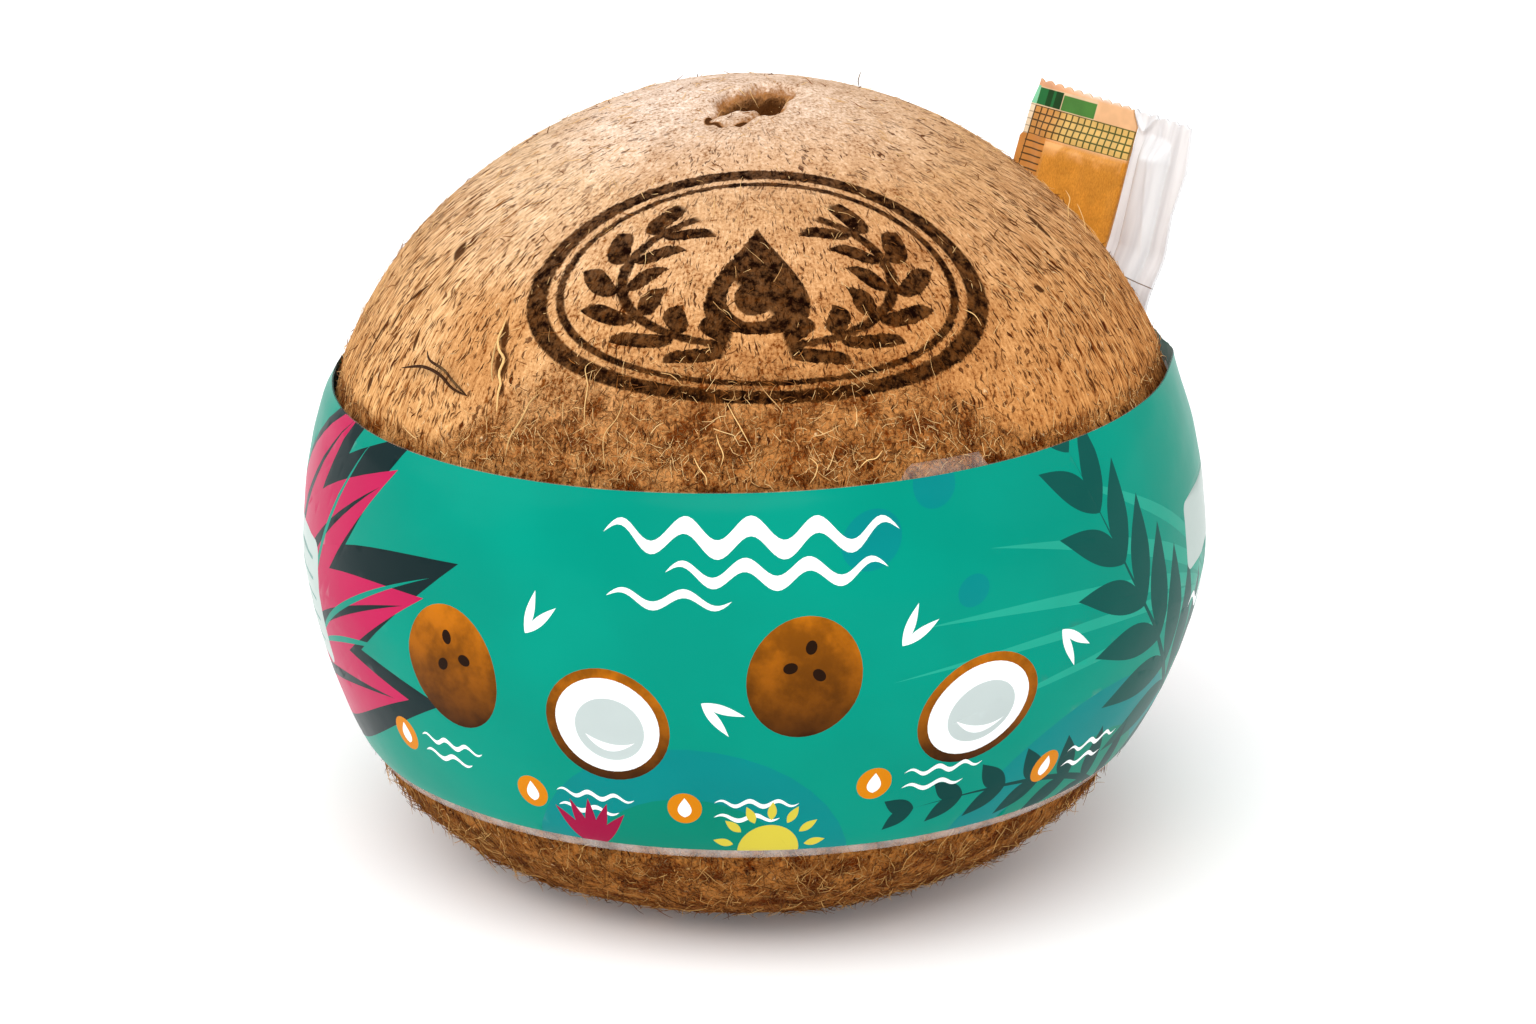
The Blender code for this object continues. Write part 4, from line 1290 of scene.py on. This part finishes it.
def oval(centre, width, height, turn=0.0, start=0.0, end=360.0, steps=44):
    """Points round an oval, or round part of one."""
    angle = np.radians(np.linspace(start, end, steps, endpoint=end - start < 360))
    x, y = width / 2 * np.cos(angle), height / 2 * np.sin(angle)
    turn = math.radians(turn)
    return np.stack([centre[0] + x * math.cos(turn) - y * math.sin(turn),
                     centre[1] + x * math.sin(turn) + y * math.cos(turn)], -1)


def wave(start, length, height, waves, thickness, slope=0.0):
    """A band that swings up and down, thickest in its middle and pointed at its ends."""
    share = np.linspace(0, 1, int(14 * waves) + 4)
    x = start[0] + length * share
    y = start[1] + slope * length * share + height * np.sin(2 * math.pi * waves * share)
    half = thickness / 2 * np.sin(math.pi * share) ** 0.6
    top, bottom = np.stack([x, y + half], -1), np.stack([x, y - half], -1)
    return np.concatenate([top, bottom[-2:0:-1]])


def panel(centre, width, height, corner):
    """A rectangle with round corners."""
    x, y = width / 2 - corner, height / 2 - corner
    corners = zip(((x, y), (-x, y), (-x, -y), (x, -y)), (0, 90, 180, 270))
    arcs = [oval((centre[0] + cx, centre[1] + cy), 2 * corner, 2 * corner, 0, turn, turn + 90.001, 7)
            for (cx, cy), turn in corners]
    return np.concatenate(arcs)


def ink_fan(base, tips, width, colour, rib=None):
    """Broad leaves from one foot, each with a thin rib."""
    for tip in tips:
        ink(leaf(base, tip, width, 0.05), colour)
        if rib:
            ink(leaf(base, np.array(base) + 0.93 * (np.array(tip) - base), width * 0.14, 0.05), rib)


def ink_frond(base, tip, bow, pairs, longest, width, colour):
    """A palm frond: a bent stem with slanting leaflets on both sides."""
    base, tip = np.array(base, float), np.array(tip, float)
    way = tip - base
    across = np.array([-way[1], way[0]])
    for number in range(pairs):
        share = 0.12 + 0.88 * number / (pairs - 1)
        root = base + share * way + 4 * bow * share * (1 - share) * across
        ahead = way + 4 * bow * (1 - 2 * share) * across
        ahead /= np.linalg.norm(ahead)
        aside = np.array([-ahead[1], ahead[0]])
        size = longest * (1 - 0.62 * share)
        for sign in (1, -1):
            slant = 0.5 + 0.5 * share
            end = root + size * (slant * ahead + sign * (1.1 - slant * 0.55) * aside)
            ink(leaf(root, end, width * (1 - 0.4 * share), -0.06 * sign), colour)
    ink(leaf(base - 0.02 * way, tip, 1.1, bow, 0.5), colour)


def ink_half_nut(centre, width, height, turn):
    """A nut cut in half: husk, white flesh and the hollow in it."""
    ink(oval(centre, width, height, turn), HUSK_LIGHT, HUSK_DARK, 1.0)
    ink(oval(centre, width * 0.84, height * 0.84, turn), WHITE)
    shift = np.array(centre) + (0.02 * width, -0.03 * height)
    ink(oval(shift, width * 0.56, height * 0.56, turn), MILK)
    left, right = shift + (-0.2 * width, -0.06 * height), shift + (0.2 * width, -0.1 * height)
    ink(leaf(left, right, 0.07 * height, -0.2), WHITE)


def ink_whole_nut(centre, width, height, turn):
    """A whole nut seen from the end with the three germination pores."""
    ink(oval(centre, width, height, turn), HUSK_LIGHT, HUSK_DARK, 1.0)
    for angle in (95, 215, 335):
        way = math.radians(angle + turn)
        spot = np.array(centre) + (0.02 * width, 0.12 * height)
        spot = spot + 0.15 * width * np.array([math.cos(way), math.sin(way)])
        ink(oval(spot, width * 0.13, width * 0.1, angle + turn, steps=20), PORE_BROWN)


def ink_sun(centre, radius, rays):
    """A half sun that rises from a level line."""
    for number in range(rays):
        angle = math.pi * (number + 0.5) / rays
        way = np.array([math.cos(angle), math.sin(angle)])
        ink(leaf(centre + 1.18 * radius * way, centre + 1.85 * radius * way, 1.3, 0), YELLOW)
    ink(oval(centre, 2 * radius, 2 * radius, 0, 0, 180.001, 30), YELLOW)


# The print's ground and tonal pools, the leaves over them, and the small motifs on top, front first
for x, y, outer, inner in ((-9, -34, 52, 36), (58, -36, 58, 42), (-150, -30, 56, 38), (150, -34, 60, 44)):
    ink(oval((x, y), outer, outer), POOL)
    ink(oval((x, y), inner, inner), DEEP_TEAL)
for x, y, size in ((16, 20, 9), (26, 26, 7), (-112, 22, 10), (128, 12, 9), (30, 12, 5)):
    ink(oval((x, y), size, size * 0.8, 30), POOL)
for tip_x, tip_y, width in ((18, 1, 1.6), (22, 8, 2.2), (33, 17, 2.4), (44, 24, 1.8), (27, -6, 1.6)):
    ink(leaf((92, -4), (tip_x, tip_y), width, -0.06), PALE_TEAL)
for tip_x, tip_y, width in ((-176, 12, 2), (-170, 2, 2.4), (-166, -10, 1.8)):
    ink(leaf((-112, -6), (tip_x, tip_y), width, 0.06), PALE_TEAL)

ink_fan((-104, -24), ((-56, 27), (-43, 13), (-47, -8), (-66, 34)), 17, BLACK_TEAL)
ink_fan((-106, -22), ((-58, 22), (-49, 7), (-54, -9), (-72, 28)), 13.5, MAGENTA, BLACK_TEAL)
for tip_x, tip_y in ((-48, 10), (-54, -2), (-66, 24)):
    ink(leaf((-84, -10), (tip_x, tip_y), 0.9, 0.04), TEAL)
ink_frond((104, -26), (50, 26), 0.13, 9, 25, 6.5, LEAF_GREEN)
ink_frond((72, -30), (24, -19), -0.1, 7, 12, 4.2, LEAF_SHADE)
ink_frond((-190, -24), (-128, 22), -0.14, 10, 24, 6.4, LEAF_GREEN)
ink_fan((186, -24), ((140, 24), (132, 4), (136, -14)), 13, BLACK_TEAL)
ink_fan((188, -22), ((148, 20), (140, 4), (145, -11)), 9.5, MAGENTA, BLACK_TEAL)

for row, (x, y, length, waves, thickness) in enumerate((
        (-21, 20.6, 41, 4.5, 2.5), (-12, 16.2, 30, 3.5, 1.9), (-20, 12.6, 17, 2, 1.2))):
    ink(wave((x, y), length, 1.5 - 0.3 * row, waves, thickness, 0.012), WHITE)
for x, y, length in ((112, 16, 34), (118, 11, 24), (-160, 18, 30)):
    ink(wave((x, y), length, 1.3, length / 9, 1.9), WHITE)

ink_whole_nut((-44, -1.5), 15.5, 17.5, 14)
ink_half_nut((-20, -5.5), 17.5, 16.5, -12)
ink_whole_nut((6.5, 2.5), 15, 17, -20)
ink_half_nut((31, -4.5), 18.5, 15, 24)
ink_half_nut((126, -4), 18, 17, 10)
ink_whole_nut((-142, -8), 16, 18, -10)
ink_half_nut((-168, -14), 17, 14, 30)

for x, y, turn in ((-31.5, 6, 60), (-7, -1, -35), (19.5, 6, 48), (44, 4, -50), (112, 2, 40), (-122, 8, 60)):
    for shift in (-18, 18):
        angle = math.radians(turn + shift)
        ink(leaf((x, y), (x + 6 * math.cos(angle), y + 6 * math.sin(angle)), 1.3), WHITE)
dots = ((-57, -15), (-33, -18), (-9.5, -17.5), (17, -14), (46, -17), (112, -14), (156, -18), (-128, -18))
for x, y in dots:
    ink(oval((x, y), 5, 5, steps=30), ORANGE)
    ink(leaf((x, y - 1.5), (x, y + 1.7), 2.0, 0, 0.7), WHITE)
    for row in range(2):
        ink(wave((x + 4.2, y + 1.1 - 2.4 * row), 12 - 2.5 * row, 0.45, 3 - row, 0.75), WHITE)
for x, radius in ((3, 4.6), (-100, 5), (88, 5)):
    ink_sun((x, -24.6), radius, 7)
for x in (-24, 168, -178):
    for angle in np.radians(range(50, 131, 20)):
        ink(leaf((x, -26), (x + 8.5 * math.cos(angle), -26 + 8.5 * math.sin(angle)), 1.9), DARK_MAGENTA)
ink(panel((-90, -3), 23, 18, 2.2), PALE_LABEL)
ink(panel((88, 7.5), 23, 9.6, 1.4), PALE_LABEL)
ink(wave((78, -3), 26, 1.2, 3, 1.8), WHITE)
for row in range(5):
    ink(panel((-90, 3 - 3 * row), 17, 0.5, 0.24), LABEL_RULE)


def tab_rise(azimuth):
    return TAB_HEIGHT * ease((TAB_HALF_WIDTH - np.abs(azimuth - TAB_AZIMUTH)) / TAB_EDGE)


def packet_reach():
    """Radius, azimuth and level of the packet's outer face, which the film passes over."""
    along = np.linspace(-PACKET_BELOW_START, 3 * MM, 40)[:, None]
    across = np.linspace(-PACKET_WIDTH / 2, PACKET_WIDTH / 2, 45)[None, :] + 0 * along
    along = along + 0 * across
    kraft = sachet_thickness(across, along)
    thickness = np.where(across < KRAFT_EDGE, kraft, wrapper_thickness(across, along))
    points = packet_face(across, along, thickness / 2).reshape(-1, 3)
    level = points[:, 2] - WIDEST
    points = points - place(np.zeros(len(level)), np.zeros(len(level)), level)
    return np.hypot(points[:, 0], points[:, 1]), np.arctan2(points[:, 0], -points[:, 1]), level


def smoothed(values, passes):
    """Blend each value with its neighbours, edges kept."""
    for _ in range(passes):
        for axis in (0, 1):
            padded = np.pad(values, [(1, 1) if number == axis else (0, 0) for number in (0, 1)], "edge")
            before, after = (np.delete(padded, [-1, -2], axis), np.delete(padded, [0, 1], axis))
            values = 0.5 * values + 0.25 * (before + after)
    return values


BRIDGE_AZIMUTHS = np.radians(np.arange(85, 181, 0.5))
BRIDGE_LEVELS = np.arange(-29, 31, 1.0) * MM


def bridge_lift():
    """How far the film stands off the nut beside and over the packet, on a grid of azimuths and levels."""
    radius, turn, height = packet_reach()
    azimuth, level = np.meshgrid(BRIDGE_AZIMUTHS, BRIDGE_LEVELS, indexing="ij")
    hug = lobed(radius_at(level), azimuth) + SLEEVE_GAP
    lift = np.zeros_like(hug)
    for reach_radius, reach_turn, reach_height in zip(radius, turn, height):
        beyond = np.maximum(np.abs(reach_height - level) - BRIDGE_REACH, 0)
        reach = reach_radius + SLEEVE_GAP - BRIDGE_SLOPE * beyond
        off = np.maximum(np.abs(azimuth - reach_turn) - BRIDGE_SPREAD, 0)
        tangent = np.arccos(np.minimum(hug / reach, 1))
        lifted = np.where((reach > hug) & (off < tangent), hug / np.cos(np.maximum(tangent - off, 0)), hug)
        lift = np.maximum(lift, lifted - hug)
    return smoothed(lift, 4)


def grid_value(values, azimuth, level):
    """Values of the bridge grid between its points; 0 where the film hugs the nut."""
    x, y = (np.clip((value - grid[0]) / (grid[1] - grid[0]), 0, len(grid) - 1.001)
            for value, grid in ((azimuth, BRIDGE_AZIMUTHS), (level, BRIDGE_LEVELS)))
    column, row = x.astype(int), y.astype(int)
    x, y = x - column, y - row
    near = values[column, row] * (1 - y) + values[column, row + 1] * y
    far = values[column + 1, row] * (1 - y) + values[column + 1, row + 1] * y
    return (near * (1 - x) + far * x) * (azimuth > BRIDGE_AZIMUTHS[0])


def sheet_surface(sheet):
    """Places on the nut of points given in mm round and up the sleeve."""
    azimuth, level = sheet[:, 0] / AROUND, sheet[:, 1] * MM
    lift = grid_value(bridge_lift(), azimuth, level)
    radius = lobed(radius_at(level), azimuth) + SLEEVE_GAP + SLEEVE_WALL + lift
    loose = ease(lift / (0.8 * MM))
    folds = np.stack([sheet[:, 0] * 0.35, sheet[:, 1], 0 * azimuth], -1)
    radius += 0.09 * MM * cloud(folds, 5.0) + (0.03 + 0.12 * loose) * MM * cloud(folds, 1.7)
    radius += SEAM_STEP * ease((SEAM_HALF_WIDTH - (math.pi * AROUND - np.abs(sheet[:, 0]))) / 0.5 + 1)
    rim = rim_level(azimuth)
    near_rim = ease((level - rim) / EDGE_REACH + 1)
    stands_off = ease((azimuth - LOOSE_RIM_START) / LOOSE_RIM_START) * (azimuth < LOOSE_RIM_END)
    radius -= RIM_HUG * near_rim * (1 - stands_off)
    near_foot = ease((bottom_level(azimuth) - level) / EDGE_REACH + 1)
    radius -= FOOT_HUG * near_foot
    return place(azimuth, radius, level)


def make_sleeve():
    """Cut the flat print into faces along its outlines, wrap it round the nut and weld its back seam."""
    column = np.linspace(-math.pi, math.pi, SLEEVE_COLUMNS + 1)
    low, rim = bottom_level(column) / MM, rim_level(column) / MM
    top = rim + tab_rise(column) / MM
    share = np.linspace(0, 1, SLEEVE_ROWS + 1)[:, None]
    sheet = np.stack([column * AROUND + 0 * share, low + (top - low) * share], -1)
    across = SLEEVE_COLUMNS + 1
    border = list(range(across)) + [row * across + across - 1 for row in range(1, SLEEVE_ROWS)]
    border += [SLEEVE_ROWS * across + here for here in reversed(range(across))]
    border += [row * across for row in reversed(range(1, SLEEVE_ROWS))]
    flat = sheet.reshape(-1, 2).tolist()
    polygons = [border]
    x = column * AROUND
    ends = np.stack([x, low + CLEAR_BOTTOM], -1), np.stack([x, rim - CLEAR_TOP], -1)[::-1]
    printed = np.concatenate(ends)
    for outline in [printed] + [shape[0] for shape in shapes]:
        polygons.append(list(range(len(flat), len(flat) + len(outline))))
        flat += outline.tolist()
    cut = delaunay_2d_cdt([Vector(point) for point in flat], [], polygons, 0, 1e-5, True)
    spots = np.array([point[:] for point in cut[0]])
    kept = [(face, set(sources)) for face, sources in zip(cut[2], cut[5]) if 0 in sources]
    right_edge = math.pi * AROUND - 1e-3
    twins = {round(spot[1], 3): number for number, spot in enumerate(spots) if spot[0] < -right_edge}
    merged = {number: twins[round(spot[1], 3)] for number, spot in enumerate(spots) if spot[0] > right_edge}
    used = sorted({merged.get(corner, corner) for face, _ in kept for corner in face})
    order = {old: new for new, old in enumerate(used)}
    faces = [tuple(order[merged.get(corner, corner)] for corner in face) for face, _ in kept]
    sleeve = new_mesh("sleeve_film", sheet_surface(spots[used]), faces)
    colours, mottling, cover = [], [], []
    for face, sources in kept:
        above = [source - 2 for source in sources if source > 1]
        outline, colour, foot, mottled = shapes[max(above)] if above else (spots, TEAL, TEAL, 0.0)
        low_end, high_end = outline[:, 1].min(), outline[:, 1].max()
        for corner in face:
            rise = 1.0 if colour is foot else (spots[corner][1] - low_end) / (high_end - low_end)
            colours += [*(np.array(foot) + rise * (np.array(colour) - foot)), 1.0]
            mottling.append(mottled)
            cover.append(1.0 if 1 in sources else 0.0)
    for name, kind, field, values in (("ink", "FLOAT_COLOR", "color", colours),
                                      ("mottled", "FLOAT", "value", mottling),
                                      ("printed", "FLOAT", "value", cover)):
        attribute = sleeve.data.attributes.new(name, kind, "CORNER")
        attribute.data.foreach_set(field, np.asarray(values, np.float32))
    wall = sleeve.modifiers.new("film_wall", "SOLIDIFY")
    wall.thickness = FILM_WALL
    wall.offset = -1
    return sleeve


def printed_film_material():
    """Satin shrink film: printed behind, milky clear at its edges, faintly rippled by the shrinking."""
    material, wiring = new_material("printed_shrink_film", Roughness=0.42, Specular_IOR_Level=0.0,
                                    Coat_Weight=0.24, Coat_IOR=1.25, Coat_Roughness=0.2,
                                    Sheen_Weight=0.22, Sheen_Roughness=0.3)
    colour = wiring.read("ink", "Color")
    mottled, printed = wiring.read("mottled"), wiring.read("printed")
    spot = wiring.add("ShaderNodeTexCoord")["Object"]
    husk = fade(spot.noise(150.0, 5, 0.6), 0.34, 0.66, 0.55, 1.3)
    tone = fade(spot.noise(45.0, 3), 0.3, 0.7, 0.94, 1.05)
    colour = colour.vectors("SCALE", mix(mottled, tone, husk))
    wiring.drive("Base Color", mix(printed, CLEAR_EDGE, colour))
    clear = fade(spot.noise(330.0, 2), 0.35, 0.7, 0.7, 1.3)
    clear = clear * fade(parts(spot)[2], 30 * MM, 60 * MM, 0.2, 0.055)
    wiring.drive("Alpha", mix(printed, clear, 1.0))
    ripple = spot.noise(90.0, 2) + spot.noise(420.0, 2) * 0.2
    wiring.bump(ripple, 0.25 * MM, 0.5)
    return material


sleeve = make_sleeve()
sleeve.data.materials.append(printed_film_material())
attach(sleeve, "root")
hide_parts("sleeve")

# The stage: a white floor in soft studio light from all round, strongest from above the front, and the
# camera as the photograph was taken, a little above the nut and through a long lens
LOOK_DOWN = math.radians(19)
LENS_MM, SENSOR_MM = 146.0, 36
CAMERA_DISTANCE = 0.8645
AIM_RIGHT, AIM_UP = 1.7 * MM, 3.7 * MM
FLOOR_REACH = 6
PAPER_WHITE, WHITE_LIGHT = (0.96, 0.96, 0.96, 1), (1, 1, 1, 1)
STUDIO_FILL, FLOOR_GLOW = 0.74, 0.06
GLOW_WIDTH, GLOW_HEIGHT, GLOW_POWER, GLOW_PLACE = 3.6, 1.4, 7, (0, 1.7, 0.6)
# Each soft source: its azimuth from the front and its height in degrees, its strength, its width in degrees
SOFTBOXES = (("top_softbox", -10, 54, 1.8, 45), ("front_softbox", -5, 18, 0.25, 50),
             ("left_softbox", -80, 30, 0.8, 50), ("right_softbox", 75, 30, 0.3, 50))

corners = [[x * FLOOR_REACH, y * FLOOR_REACH, 0] for x, y in ((-1, -1), (1, -1), (1, 1), (-1, 1))]
floor = new_mesh("floor", np.array(corners), [(0, 1, 2, 3)], False)
floor_paint = new_material("white_floor", Roughness=0.9, Base_Color=PAPER_WHITE,
                           Emission_Color=WHITE_LIGHT, Emission_Strength=FLOOR_GLOW)[0]
floor.data.materials.append(floor_paint)


def add_light(name, kind, **settings):
    lamp = bpy.data.lights.new(name, kind)
    for setting, value in settings.items():
        setattr(lamp, setting, value)
    light = bpy.data.objects.new(name, lamp)
    bpy.context.scene.collection.objects.link(light)
    return light


for name, azimuth, height, strength, width in SOFTBOXES:
    turn, rise = math.radians(azimuth), math.radians(height)
    toward = Vector((math.sin(turn) * math.cos(rise), -math.cos(turn) * math.cos(rise), math.sin(rise)))
    softbox = add_light(name, "SUN", energy=strength, angle=math.radians(width))
    softbox.rotation_euler = (-toward).to_track_quat("-Z", "Y").to_euler()
backdrop = add_light("backdrop", "AREA", shape="RECTANGLE", size=GLOW_WIDTH, size_y=GLOW_HEIGHT,
                     energy=GLOW_POWER)
backdrop.location = GLOW_PLACE
backdrop.rotation_euler = (math.radians(90), 0, 0)

world = bpy.data.worlds.new("studio")
world.use_nodes = True
world.node_tree.nodes["Background"].inputs["Color"].default_value = WHITE_LIGHT
world.node_tree.nodes["Background"].inputs["Strength"].default_value = STUDIO_FILL
bpy.context.scene.world = world
bpy.context.scene.view_settings.view_transform = "Standard"

lens = bpy.data.cameras.new("camera")
lens.lens = LENS_MM
lens.sensor_width = SENSOR_MM
lens.clip_start = 0.01
camera = bpy.data.objects.new("camera", lens)
bpy.context.scene.collection.objects.link(camera)
ahead = Vector((0, math.cos(LOOK_DOWN), -math.sin(LOOK_DOWN)))
upward = Vector((0, math.sin(LOOK_DOWN), math.cos(LOOK_DOWN)))
aim = Vector((AIM_RIGHT, 0, WIDEST)) + upward * AIM_UP
camera.location = aim - ahead * CAMERA_DISTANCE
camera.rotation_euler = ahead.to_track_quat("-Z", "Y").to_euler()
bpy.context.scene.camera = camera
